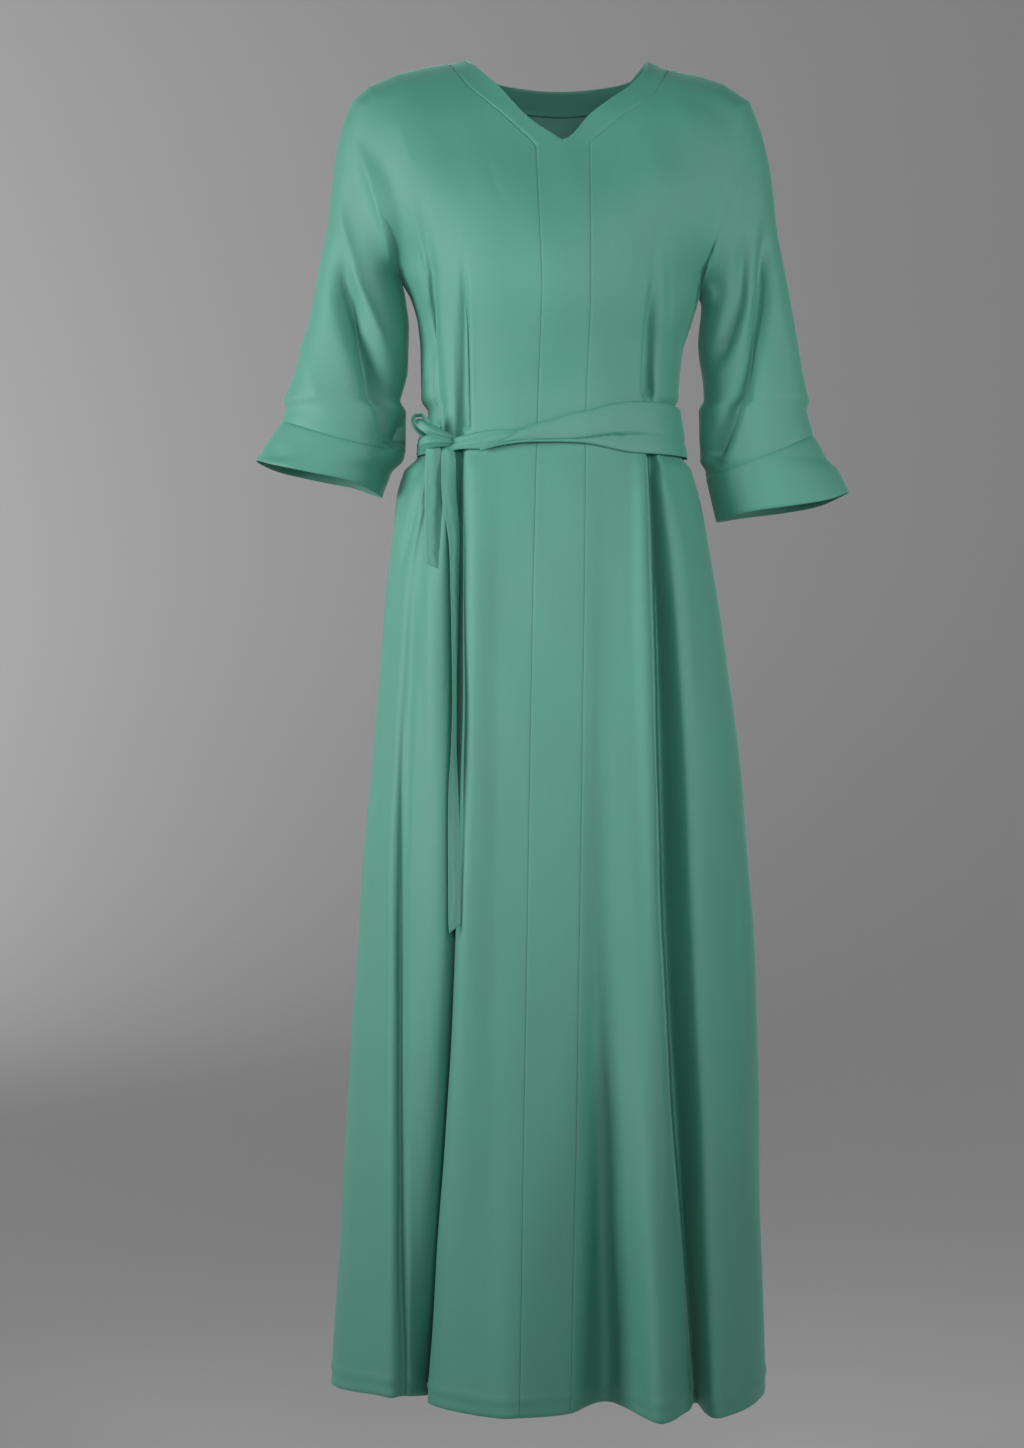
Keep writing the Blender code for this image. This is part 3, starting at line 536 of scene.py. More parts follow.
# %% Even out the bodice
LATTICE = 4.0               # mm between the points of a plain square lattice
BLUR_ROUNDS = 36
EVEN_END = -330             # evening fades out from 90 mm above this height
KEPT_EDGE = 6               # mm beside the outline that stay as they are
LATTICE_X, LATTICE_Z = np.arange(-320, 324, LATTICE), np.arange(-480, 84, LATTICE)


def blurred(values):
    """A lattice of depths, each averaged with its neighbours again and again."""
    for _ in range(BLUR_ROUNDS):
        for axis in (0, 1):
            values = (np.roll(values, 1, axis) + 2 * values + np.roll(values, -1, axis)) / 4
    return values


def spline_weights(t):
    """Weights of four neighbours, for a cubic that is smooth everywhere."""
    return np.stack([(1 - t)**3, 3 * t**3 - 6 * t**2 + 4, -3 * t**3 + 3 * t**2 + 3 * t + 1, t**3]) / 6


def from_lattice(values, x, z):
    """Values at any points, read smoothly from the lattice."""
    across, up = (x - LATTICE_X[0]) / LATTICE, (z - LATTICE_Z[0]) / LATTICE
    column = np.clip(across.astype(int), 1, len(LATTICE_X) - 3)
    row = np.clip(up.astype(int), 1, len(LATTICE_Z) - 3)
    weights_x, weights_z = spline_weights(across - column), spline_weights(up - row)
    return sum(weights_z[i] * weights_x[j] * values[row - 1 + i, column - 1 + j]
               for i in range(4) for j in range(4))


def underarm_at(x):
    """Height of the line between the two underarms."""
    (right, low), (left, high) = SLEEVE_UNDER_RIGHT[0], SLEEVE_UNDER_LEFT[0]
    return low + (high - low) * np.clip((x - right) / (left - right), 0, 1)


lattice_x, lattice_z = np.meshgrid(LATTICE_X, LATTICE_Z)
shift, counted = np.zeros(len(points)), np.zeros(len(points), bool)
for name, (_, face) in sheets.items():
    if name.startswith("cuff"):
        continue
    spots = np.unique(place[name])
    x, z = points[spots, 0], points[spots, 2]
    near = z > EVEN_END - 90
    spots, x, z = spots[near], x[near], z[near]
    to_edge = np.minimum(distance_to(TOP_LINE, x, z),
                         np.minimum(distance_to(UNDER_RIGHT, x, z), distance_to(UNDER_LEFT, x, z)))
    if name in ("front", "back"):
        plain = depth(x, z, face, underarm_at(x))
        even = blurred(depth(lattice_x, lattice_z, face, underarm_at(lattice_x)))
    else:
        plain, even = upper_depth(x, z, face), blurred(upper_depth(lattice_x, lattice_z, face))
    free = ease((to_edge - KEPT_EDGE) / 34) * ease((z - EVEN_END) / 90)
    change = free * (from_lattice(even, x, z) - plain)
    new = ~counted[spots]
    shift[spots[new]] = change[new]
    counted[spots] = True
points[:, 1] += shift
print("evened by up to", round(float(np.abs(shift).max()), 1), "mm")


# %% Normals of the whole surface
def surface_normals(spots, faces):
    """Unit normals at the points of a surface of four-sided faces."""
    square = np.cross(spots[faces[:, 2]] - spots[faces[:, 0]], spots[faces[:, 3]] - spots[faces[:, 1]])
    result = np.stack([sum(np.bincount(faces[:, k], square[:, axis], len(spots)) for k in range(4))
                       for axis in range(3)], axis=-1)
    return unit(result)


normals = surface_normals(points, all_quads)
face_of = np.zeros(len(points))
for name, (_, face) in sheets.items():
    face_of[place[name]] = face
for name in ("cuff_right", "cuff_left"):
    face_of[place[name]] = np.where(normals[place[name]][..., 1] < 0, -1, 1)
print("front points:", int((face_of < 0).sum()))

# %% [markdown]
# ## Creases, placed one by one
#
# The large folds come from the lines above. The smaller ones are soft troughs and ridges, each a
# row in a table: its kind, how high it stands, how wide it is, how long it fades in and
# out at its ends, and the points it passes. The points are written as the picture's camera sees
# them on the plane of the side seams, so the cloth is first projected there.

# %% Creases
CREASES = [
    # name, face, kind, height, width, fade at start, fade at end, points (x, z) as seen
    # wearer's right sleeve
    ("sleeve_ridge_right", -1, "ridge", 4.5, 7, .3, .3,
     [(-202, -64), (-183, -102), (-171, -142), (-164, -170), (-161, -209)]),
    ("shoulder_ridge_right", -1, "ridge", 1.4, 11, .4, .4,
     [(-158, -35), (-148, -69), (-139, -96), (-129, -114)]),
    ("shoulder_fold_right", -1, "step", 1.6, 10, .4, .4,
     [(-186, -70), (-168, -110), (-156, -150), (-150, -190)]),
    ("sleeve_thin_ridge_right", -1, "ridge", 2.4, 5, .3, .3,
     [(-216, -110), (-212, -142), (-202, -177), (-188, -217)]),
    ("sleeve_valley_right", -1, "trough", 21, 11, .4, .03,
     [(-214, -170), (-206, -221), (-197, -256), (-187, -284), (-177, -317), (-166, -354), (-160, -378)]),
    ("sleeve_split_right", -1, "ridge", 4.5, 5, .3, .3,
     [(-205, -178), (-196, -207), (-179, -248), (-160, -296)]),
    ("cuff_dent_right", -1, "trough", 1.0, 9, .4, .4, [(-287, -372), (-282, -384), (-276, -393)]),
    ("sleeve_inner_wave_right", -1, "ridge", 2.4, 6, .3, .3,
     [(-146, -236), (-151, -268), (-148, -300), (-155, -330), (-153, -360)]),
    ("sleeve_low_ridge_right", -1, "ridge", 2.0, 9, .4, .3, [(-262, -230), (-246, -290), (-232, -350)]),
    # wearer's left sleeve
    ("sleeve_valley_left", -1, "trough", 15, 8.5, .3, .05,
     [(217, -130), (211, -221), (205, -258), (195, -309), (183, -350), (160, -395)]),
    ("sleeve_soft_valley_left", -1, "trough", 9, 8.5, .3, .2,
     [(195, -155), (189, -221), (179, -256), (160, -303)]),
    ("sleeve_underarm_ring_left", -1, "ridge", 4.0, 4, .3, .3,
     [(150, -214), (158, -217), (162, -226), (157, -238)]),
    ("sleeve_inner_ridge_left", -1, "ridge", 1.6, 5, .3, .2,
     [(153, -300), (156, -350), (152, -390), (150, -407)]),
    ("shoulder_fold_left", -1, "step", -1.2, 11, .4, .4, [(196, -70), (184, -110), (172, -150), (164, -190)]),
    # bodice, wearer's right
    ("bust_line_right", -1, "trough", 0.45, 4, .4, .4, [(-66, -83), (-58, -110), (-51, -137)]),
    ("bust_line_left", -1, "trough", 0.45, 4, .4, .4, [(80, -53), (64, -95), (49, -137)]),
    ("bodice_valley_right", -1, "trough", 7.5, 4.8, .4, .03, [(-120, -175), (-120, -260), (-119, -355)]),
    ("bodice_light_ridge", -1, "ridge", 1.5, 5, .5, .05, [(-100, -200), (-98, -280), (-97, -358)]),
    ("bodice_dark_valley", -1, "trough", 6.0, 3.6, .5, .02, [(-88, -170), (-87, -260), (-85, -360)]),
    ("bodice_front_ridge", -1, "ridge", 1.2, 4, .5, .05, [(-81, -180), (-81, -270), (-79, -360)]),
    # below the knot
    ("short_end_fold", -1, "ridge", 4.0, 8, .25, .6,
     [(-120, -455), (-120, -500), (-119, -560), (-120, -640), (-124, -760)]),
    ("knot_fold_1", -1, "trough", 4.5, 5, .15, .6, [(-124, -392), (-132, -430), (-146, -480), (-158, -540)]),
    ("knot_fold_2", -1, "ridge", 3.0, 7, .3, .6, [(-122, -400), (-128, -440), (-138, -500), (-148, -580)]),
    # bodice, wearer's left
    ("tuck_spindle", -1, "trough", 8.5, 4.2, .5, .05, [(103, -195), (98, -262), (96, -303), (96, -330)]),
    ("tuck_light_ridge", -1, "ridge", 1.3, 5, .4, .2, [(110, -155), (110, -220), (108, -300)]),
    ("side_soft_ridge", -1, "ridge", 0.9, 6, .4, .2, [(124, -140), (122, -220), (118, -310)]),
    # skirt, wearer's right
    ("hip_fold_right", -1, "ridge", 3.0, 8, .15, .4,
     [(-124, -392), (-137, -430), (-150, -470), (-157, -530), (-160, -600)]),
    ("hip_valley_right", -1, "trough", 4.5, 5, .1, .4,
     [(-130, -392), (-140, -406), (-148, -424), (-153, -446), (-157, -470)]),
    ("hip_soft_fold_right", -1, "step", 1.6, 7, .15, .4,
     [(-122, -395), (-128, -440), (-131, -500), (-132, -580)]),
    ("hip_ridge_right", -1, "ridge", 1.6, 7, .3, .3, [(-124, -426), (-126, -520), (-126, -630)]),
    ("overlap_edge_right", -1, "step", -1.6, 3.2, .25, .1,
     [(-146, -600), (-148, -708), (-149, -890), (-150, -1046), (-150, -1139), (-149, -1285)]),
    ("side_fold_right", -1, "ridge", 1.2, 7, .4, .4, [(-166, -680), (-164, -800), (-163, -930)]),
    ("pleat_side_ridge", -1, "ridge", 1.2, 5, .2, .2, [(-104, -520), (-104, -760), (-104, -1002)]),
    # skirt, wearer's left
    ("tuck_mouth_ridge", -1, "ridge", 2.0, 6, .1, .4, [(103, -395), (110, -434), (113, -488), (115, -549)]),
    ("hip_ridge_left", -1, "ridge", 1.2, 9, .2, .3, [(122, -420), (130, -480), (137, -570), (140, -691)]),
    ("side_ridge_low_left", -1, "ridge", 1.0, 9, .3, .3, [(144, -700), (146, -850), (147, -1000)]),
    ("side_valley_left", -1, "trough", 1.6, 7, .3, .3, [(170, -560), (179, -700), (184, -860), (186, -1040)]),
    ("panel_edge_left", -1, "ridge", 0.7, 5, .2, .2,
     [(99, -513), (102, -656), (104, -799), (107, -890), (110, -983), (114, -1077), (120, -1186)]),
    # back, much as the front
    ("back_sleeve_right", 1, "trough", 13, 10, .3, .06,
     [(-204, -120), (-198, -200), (-185, -280), (-168, -345)]),
    ("back_sleeve_left", 1, "trough", 12, 10, .3, .06,
     [(210, -130), (203, -210), (189, -290), (168, -365)]),
    ("back_sleeve_soft_right", 1, "ridge", 1.8, 7, .3, .3, [(-176, -130), (-172, -190), (-163, -250)]),
    ("back_sleeve_soft_left", 1, "ridge", 1.8, 7, .3, .3, [(182, -140), (176, -200), (164, -262)]),
    ("back_shoulder_right", 1, "ridge", 1.5, 12, .4, .4,
     [(-150, -50), (-141, -110), (-133, -170), (-124, -215)]),
    ("back_shoulder_left", 1, "ridge", 1.5, 12, .4, .4,
     [(160, -60), (148, -120), (138, -180), (126, -235)]),
    ("back_gather_1", 1, "trough", 2.2, 5, .5, .05, [(-92, -225), (-88, -290), (-84, -340)]),
    ("back_gather_2", 1, "trough", 2.8, 5, .5, .05, [(-47, -205), (-45, -280), (-42, -340)]),
    ("back_gather_3", 1, "trough", 1.8, 4, .5, .05, [(-12, -240), (-9, -295), (-9, -340)]),
    ("back_gather_4", 1, "trough", 3.0, 6, .5, .05, [(36, -195), (32, -270), (30, -340)]),
    ("back_gather_5", 1, "trough", 2.0, 4, .5, .05, [(70, -235), (66, -290), (62, -340)]),
    ("back_gather_6", 1, "trough", 2.4, 5, .5, .05, [(104, -215), (97, -285), (94, -340)]),
    ("back_fall_1", 1, "trough", 2.4, 5, .05, .5, [(-90, -391), (-96, -460), (-104, -545)]),
    ("back_fall_2", 1, "trough", 2.0, 5, .05, .5, [(-44, -391), (-47, -450), (-51, -520)]),
    ("back_fall_3", 1, "trough", 3.0, 6, .05, .5, [(-8, -391), (-10, -480), (-14, -600)]),
    ("back_fall_4", 1, "trough", 2.2, 5, .05, .5, [(31, -391), (34, -450), (36, -530)]),
    ("back_fall_5", 1, "trough", 2.6, 6, .05, .5, [(78, -391), (84, -470), (92, -570)]),
    ("back_fall_6", 1, "trough", 2.0, 5, .05, .5, [(110, -391), (118, -450), (128, -520)]),
]


def as_seen(spots):
    """x and z of points as the camera sees them on the plane of the side seams."""
    scale = DISTANCE / (DISTANCE + spots[:, 1] * MM)
    return AIM_X + (spots[:, 0] - AIM_X) * scale, AIM_Z + (spots[:, 2] - AIM_Z) * scale


def along_crease(path, x, z):
    """Signed distance from a crease and the share of its length, for each point."""
    line = smooth_curve(path, 8 * len(path))
    reach = reach_along(line) / reach_along(line)[-1]
    best, share = np.full(len(x), np.inf), np.zeros(len(x))
    for k in range(len(line) - 1):
        run = line[k + 1] - line[k]
        length = np.hypot(*run)
        t = np.clip(((x - line[k, 0]) * run[0] + (z - line[k, 1]) * run[1]) / length**2, 0, 1)
        aside = ((x - line[k, 0]) * run[1] - (z - line[k, 1]) * run[0]) / length
        far = np.hypot(x - line[k, 0] - t * run[0], z - line[k, 1] - t * run[1])
        nearer = far < np.abs(best)
        best = np.where(nearer, np.where(aside < 0, -far, far), best)
        share = np.where(nearer, reach[k] + t * (reach[k + 1] - reach[k]), share)
    return best, share


def crease_height(kind, height, far):
    """Profile across a crease, far in widths."""
    if kind == "trough":
        return -height * np.exp(-far**2)
    if kind == "ridge":
        return height * np.exp(-np.abs(far) ** 1.5)
    return height * far * np.exp(0.5 - far**2) * 1.4


def press_creases(table, facing, x, z):
    """How far every point moves out along its normal for the creases of one face."""
    moved = np.zeros(len(x))
    for name, face, kind, height, width, fade_in, fade_out, path in table:
        path = np.array(path, float)
        low, high = path.min(axis=0) - 4 * width, path.max(axis=0) + 4 * width
        near = (facing == face) & (x > low[0]) & (x < high[0]) & (z > low[1]) & (z < high[1])
        if not near.any():
            raise ValueError("crease " + name + " lies off the cloth")
        aside, share = along_crease(path, x[near], z[near])
        fade = ease(share / fade_in) * ease((1 - share) / fade_out)
        moved[near] += fade * crease_height(kind, height, aside / width)
    return moved


seen_x, seen_z = as_seen(points)
out = press_creases(CREASES, face_of, seen_x, seen_z)
print("creases:", len(CREASES), "deepest", round(out.min(), 1), "highest", round(out.max(), 1), "mm")

# %% [markdown]
# ## Seams and the hem
#
# A seam pulls its two edges in, so it shows as a narrow groove, a little deeper here and there where
# a stitch puckers. The hem is turned up inside: the cloth above it puffs out a little and the turned
# band hangs behind that.

# %% Seams and hem
SEAM_WIDTH = 0.9            # mm, half the width of a seam's groove
SEAM_STEP = 4.0             # mm between the points where a seam's puckers are worked out
HEM_BAND = 13.0             # mm, height of the turned-up hem


def wobble(s, seed, scale):
    """A smooth uneven line of about -1 to 1 along s, the same each run."""
    rng = np.random.default_rng(seed)
    value = 0
    for k in range(5):
        value = value + np.sin(s / scale * (0.7 + 0.9 * k) * 2 * np.pi + rng.uniform(0, 6.3)) / (1 + 0.5 * k)
    return value / 2.4


def sink_beside(far, strength, seed):
    """How far points at a distance from a seam sink; uneven along the seam."""
    along = SEAM_STEP * (1 + np.arange(far.shape[0]))
    pucker = 1 + 0.35 * wobble(along, seed, 37)[:, None]
    return strength * pucker * np.exp(-(far / SEAM_WIDTH) ** 2)


sink = np.zeros(len(points))


def seam_down(name, column, strength, seed, rows=slice(None)):
    """A seam that runs down a grid's column."""
    grid = points[place[name]][rows]
    far = np.linalg.norm(grid - grid[:, [column]], axis=-1)
    np.maximum.at(sink, place[name][rows], sink_beside(far, strength, seed))


def seam_across(name, row, strength, seed, columns=slice(None)):
    """A seam that runs along a grid's row."""
    grid = points[place[name]][:, columns]
    far = np.linalg.norm(grid - grid[[row]], axis=-1)
    np.maximum.at(sink, place[name][:, columns], sink_beside(far.T, strength, seed).T)


below_underarm = slice(UPPER_ROWS, None)
seam_down("front", seam_right, 0.5, 1)
seam_down("front", seam_left, 0.5, 2)
for j, side in ((0, "right"), (-1, "left")):
    for panel in ("front", "back"):
        seam_down(panel, j, 0.7, 3, below_underarm)
        name = "sleeve_" + side + "_" + panel
        seam_down(name, 0, 0.5, 4)
        seam_down(name, -1, 0.5, 5)
        seam_across(name, -1, 0.6, 6)
    seam_across("cuff_" + side, 0, 0.6, 6)
for name, (panel, span) in AT_NECK.items():
    seam_across(panel, 0, 0.8, 7, span)
    seam_across(name, -1, 0.5, 7)
shoulders = (("front", slice(0, front_at["pleat_edge"] + 1)), ("front", slice(front_at["tuck_root"], None)),
             ("back", slice(0, back_at["outer_ridge_right"] + 1)),
             ("back", slice(back_at["outer_ridge_left"], None)))
for panel, span in shoulders:
    seam_across(panel, 0, 0.5, 8, span)

hem_out = np.zeros(len(points))
for name in ("front", "back"):
    grid = points[place[name]]
    up = np.cumsum(np.linalg.norm(np.diff(grid[::-1], axis=0), axis=-1), axis=0)
    up = np.concatenate([np.zeros((1, grid.shape[1])), up])[::-1]
    pull = 1 + 0.5 * wobble(reach_along(grid[-1]), 11, 24)
    puff = 0.9 * np.exp(-((up - HEM_BAND - 2.5) / 3.2) ** 2) - 0.8 * ease((HEM_BAND + 1 - up) / 3)
    hem_out[place[name]] = puff * pull
print("seam grooves up to", round(sink.max(), 2), "mm deep")


# %% Gentle unevenness
def unevenness(spots):
    """Slow wide waves of well under a millimetre, longer down the cloth than across it."""
    rng = np.random.default_rng(5)
    value = np.zeros(len(spots))
    for k in range(9):
        across, down = rng.uniform(40, 110), rng.uniform(150, 420) * rng.choice((-1, 1))
        phase = (spots[:, 0] / across + spots[:, 2] / down + spots[:, 1] / 160) * 2 * np.pi
        value += np.sin(phase + rng.uniform(0, 6.3)) * rng.uniform(0.1, 0.28)
    return value


out = out - sink + hem_out + unevenness(points)
points = points + normals * out[:, None]
print("surface moved by", round(np.abs(out).mean(), 2), "mm on average")

# %% [markdown]
# ## Under the belt
#
# The belt lies tight: it presses folds flat at the front and back and draws the dress in at the sides,
# and so it doesn't stand out from the outline.

# %% The belt pulls the dress in
BELT_ZONE = (-402, -330)    # heights between which the belt presses
PULLED_IN_LEFT, PULLED_IN_RIGHT = 7.0, 5.5     # mm that it pulls each side in, as the picture's sides
FLAT_UNDER_BELT = 1.5       # mm that a fold may stand up under it
under_belt = ease((points[:, 2] - BELT_ZONE[0]) / 12) * ease((BELT_ZONE[1] - points[:, 2]) / 12)
proud = np.abs(points[:, 1]) - np.abs(section(points[:, 0], points[:, 2], face_of))
press = np.where(np.abs(points[:, 0]) < 125, np.maximum(proud - FLAT_UNDER_BELT, 0), 0) * under_belt
points[:, 1] -= face_of * press
aside = points[:, 0] - (body(1, points[:, 2]) + body(2, points[:, 2])) / 2
pull = np.where(aside < 0, PULLED_IN_LEFT, -PULLED_IN_RIGHT)
points[:, 0] += pull * under_belt * ease((np.abs(aside) - 95) / 30)
normals = surface_normals(points, all_quads)
print("pressed by up to", round(press.max(), 1), "mm under the belt")

# %% [markdown]
# ## The cloth's material
#
# Satin crepe is woven from twisted threads: it has a deep, saturated colour in its folds and a broad
# pale gloss where it faces the light. The gloss and sheen are constants of the shader. A shared node
# group gives what changes over the surface: the pebbled crepe grain, faint slubs along the warp, and
# slow changes of colour as in any dyed cloth.

# %% Helpers for nodes
def new_input(tree, name, kind, value):
    """An input of a node group, with its value."""
    socket = tree.interface.new_socket(name=name, in_out="INPUT", socket_type=kind)
    socket.default_value = value


def set_inputs(node, inputs):
    """Give a node's inputs values, or link them to other nodes' outputs."""
    for key, value in inputs.items():
        if isinstance(value, bpy.types.NodeSocket):
            node.id_data.links.new(value, node.inputs[key])
        else:
            node.inputs[key].default_value = value
    return node


def add_node(tree, kind, inputs, **settings):
    """A node with its settings and inputs."""
    node = tree.nodes.new(kind)
    for name, value in settings.items():
        setattr(node, name, value)
    return set_inputs(node, inputs)


# %% Crepe node group
def crepe_group():
    """Colour, roughness and height of crepe cloth from its own coordinates."""
    tree = bpy.data.node_groups.new("crepe_cloth", "ShaderNodeTree")
    new_input(tree, "Colour", "NodeSocketColor", (0.02, 0.3, 0.2, 1))
    for name, value in (("Grain size", 900.0), ("Slub strength", 0.5), ("Roughness", 0.45)):
        new_input(tree, name, "NodeSocketFloat", value)
    for name, kind in (("Colour", "NodeSocketColor"), ("Roughness", "NodeSocketFloat"),
                       ("Height", "NodeSocketFloat")):
        tree.interface.new_socket(name=name, in_out="OUTPUT", socket_type=kind)
    given = tree.nodes.new("NodeGroupInput").outputs
    where = tree.nodes.new("ShaderNodeTexCoord").outputs["Object"]

    grain = add_node(tree, "ShaderNodeTexNoise", {"Vector": where, "Scale": given["Grain size"], "Detail": 3})
    stretch = add_node(tree, "ShaderNodeMapping", {"Vector": where, "Scale": (420, 420, 9)})
    slub = add_node(tree, "ShaderNodeTexNoise",
                    {"Vector": stretch.outputs["Vector"], "Scale": 1, "Detail": 2})
    cloud = add_node(tree, "ShaderNodeTexNoise", {"Vector": where, "Scale": 7, "Detail": 2})

    slubs = add_node(tree, "ShaderNodeMath", {0: slub.outputs["Fac"], 1: given["Slub strength"]},
                     operation="MULTIPLY")
    height = add_node(tree, "ShaderNodeMath", {0: grain.outputs["Fac"], 1: slubs.outputs[0]},
                      operation="ADD")
    tone = add_node(tree, "ShaderNodeMath", {0: cloud.outputs["Fac"], 1: height.outputs[0]},
                    operation="ADD")
    tones = {"Value": tone.outputs[0], "From Min": 0.6, "From Max": 1.9}
    shade = add_node(tree, "ShaderNodeMapRange", {**tones, "To Min": 0.86, "To Max": 1.12})
    dull = add_node(tree, "ShaderNodeMapRange", {**tones, "To Min": -0.04, "To Max": 0.05})
    dye = add_node(tree, "ShaderNodeVectorMath", {0: given["Colour"], "Scale": shade.outputs["Result"]},
                   operation="SCALE")
    rough = add_node(tree, "ShaderNodeMath", {0: given["Roughness"], 1: dull.outputs["Result"]},
                     operation="ADD")
    add_node(tree, "NodeGroupOutput", {"Colour": dye.outputs["Vector"], "Roughness": rough.outputs[0],
                                       "Height": height.outputs[0]})
    return tree


CREPE = crepe_group()
print("node group", CREPE.name, "with", len(CREPE.nodes), "nodes")

# %% Cloth materials
CLOTH_GREEN = (0.010, 0.215, 0.143, 1.0)


def satin_crepe(name, colour, roughness, slub):
    """The dress's cloth, in one of its uses."""
    made = bpy.data.materials.new(name)
    made.use_nodes = True
    tree = made.node_tree
    crepe = add_node(tree, "ShaderNodeGroup",
                     {"Colour": colour, "Slub strength": slub, "Roughness": roughness}, node_tree=CREPE)
    relief = add_node(tree, "ShaderNodeBump", {"Height": crepe.outputs["Height"], "Strength": 0.3,
                                               "Distance": 0.0004})
    set_inputs(tree.nodes["Principled BSDF"], {
        "Base Color": crepe.outputs["Colour"], "Roughness": crepe.outputs["Roughness"],
        "Normal": relief.outputs["Normal"], "IOR": 1.7, "Specular IOR Level": 1.0,
        "Sheen Weight": 0.36, "Sheen Roughness": 0.35, "Sheen Tint": (0.36, 0.82, 0.66, 1.0)})
    return made


MATERIALS = {
    "dress_cloth": satin_crepe("dress_cloth", CLOTH_GREEN, 0.74, 0.5),
    "band_cloth": satin_crepe("band_cloth", CLOTH_GREEN, 0.76, 0.4),
    "belt_cloth": satin_crepe("belt_cloth", CLOTH_GREEN, 0.72, 0.4),
}
print("materials:", list(MATERIALS))

# %% [markdown]
# ## Cutting the surface into pieces
#
# Each piece takes its own faces from the shared surface and gets a wall. At a sewn edge the wall runs
# on inwards as a seam allowance, which is what closes a real seam to the light. At a free edge the
# wall is only rounded.

# %% Make a shell
WALL = 0.8                  # mm, the visible thickness of the cloth
ALLOWANCE = 4.0             # mm that a sewn edge runs on inwards
HALF_GAP = 0.2              # mm between a piece's edge and its seam line
SHARP_EDGE = 55             # degrees; sharper edges than this are shaded as edges


def rim_edges(faces):
    """Directed edges that only one face uses."""
    directed = np.concatenate([faces[:, [k, (k + 1) % 4]] for k in range(4)])
    directed = directed[directed[:, 0] != directed[:, 1]]
    size = faces.max() + 1
    code, opposite = directed[:, 0] * size + directed[:, 1], directed[:, 1] * size + directed[:, 0]
    return directed[~np.isin(code, opposite)]


def shell(name, faces, spots, lean, sewn, wall=WALL):
    """A closed thin wall on some faces of a surface. sewn marks the points of sewn edges."""
    used, faces = np.unique(faces, return_inverse=True)
    faces = faces.reshape(-1, 4)
    spots, lean, sewn = spots[used], lean[used], sewn[used]
    rim = rim_edges(faces)
    run = spots[rim[:, 1]] - spots[rim[:, 0]]
    inward = unit(np.cross(lean[rim[:, 0]], run))
    pull = np.zeros_like(spots)
    for k in range(2):
        np.add.at(pull, rim[:, k], inward)
    pull = unit(pull)
    spots = spots + pull * np.where(sewn, HALF_GAP, 0)[:, None]
    on_rim = np.unique(rim)
    rim_spots = np.where(sewn[on_rim, None], spots[on_rim] - lean[on_rim] * ALLOWANCE,
                         spots[on_rim] - pull[on_rim] * wall * 0.4)
    count = len(spots)
    rim_number = np.full(count, -1)
    rim_number[on_rim] = 2 * count + np.arange(len(on_rim))
    a, b = rim[:, 0], rim[:, 1]
    walls = np.concatenate([
        faces, faces[:, ::-1] + count,
        np.stack([b, a, rim_number[a], rim_number[b]], axis=-1),
        np.stack([rim_number[b], rim_number[a], a + count, b + count], axis=-1)])
    corners = np.concatenate([spots + lean * wall / 2, spots - lean * wall / 2, rim_spots]) * MM
    return mesh_piece(name, corners, walls)


def mesh_piece(name, corners, faces):
    """An object from points and four-sided faces; a face with two equal corners is a triangle."""
    listed = []
    for face in faces.tolist():
        kept = [v for k, v in enumerate(face) if v != face[k - 1]]
        if len(kept) > 2:
            listed.append(kept)
    mesh = bpy.data.meshes.new(name)
    mesh.from_pydata(corners.tolist(), [], listed)
    mesh.validate()
    mesh.shade_smooth()
    mesh.set_sharp_from_angle(angle=math.radians(SHARP_EDGE))
    return new_object(name, mesh)


def finish(piece, node, slot):
    """What every piece of cloth says about itself."""
    piece.data.materials.append(MATERIALS[slot])
    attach(piece, "root")
    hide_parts(node)
    print(piece.name, len(piece.data.polygons), "faces")


# %% Turn up the hem
HEM_ROWS = 4                # rows of a panel's grid that the hem reaches up
TURNED_UP = [
    # row of the panel behind which it lies, mm inside the panel, mm lower, lean of its face
    (-1, 0.9, 0.5, 0.2),
    (-1, 1.7, 0, -1.0),
    (-2, 1.9, 0, -1.0),
    (-3, 1.9, 0, -1.0),
    (-4, 1.9, 0, -1.0),
]
FOLD_LEAN = np.array([0, 0, -0.9])      # the fold itself looks down
extra, extra_normals = [], []


def turned_up(index):
    """Grid numbers of the hem's turned-up layer inside a panel, added to the shared points."""
    grids = [index[-1]]
    for row, inside, lower, lean in TURNED_UP:
        source = index[row]
        grids.append(len(points) + sum(map(len, extra)) + np.arange(len(source)))
        extra.append(points[source] - normals[source] * inside - np.array([0, 0, lower]))
        extra_normals.append(normals[source] * lean + (FOLD_LEAN if lower else 0))
    return np.stack(grids)


# %% Cut the panels
PANELS = [
    # piece, node, flat width, flat length, flat area, parts of the surface, the hem's part first
    ("right_front_panel", "front_right", 0.62, 1.36, 0.50,
     [(place["front"][:, :seam_right + 1], -1), (place["sleeve_right_front"], -1)]),
    ("centre_front_panel", "centre_front", 0.075, 1.27, 0.072,
     [(place["front"][:, seam_right:seam_left + 1], -1)]),
    ("left_front_panel", "front_left", 0.60, 1.36, 0.47,
     [(place["front"][:, seam_left:], -1), (place["sleeve_left_front"], -1)]),
    ("back_panel", "back", 1.05, 1.38, 0.78,
     [(place["back"], 1), (place["sleeve_right_back"], 1), (place["sleeve_left_back"], 1)]),
]
panel_faces = []
for *_, parts in PANELS:
    hem_index, face = parts[0]
    parts.append((turned_up(hem_index), face))
    panel_faces.append(np.concatenate([quads_of(index, face) for index, face in parts]))
spots_all = np.concatenate([points] + extra)
normals_all = unit(np.concatenate([normals] + extra_normals))
sewn = np.arange(len(spots_all)) < len(points)
sewn[place["front"][-1]] = sewn[place["back"][-1]] = False
for (name, node, width, length, area, _), faces in zip(PANELS, panel_faces):
    made = shell(name, faces, spots_all, normals_all, sewn)
    finish(made, node, "dress_cloth")

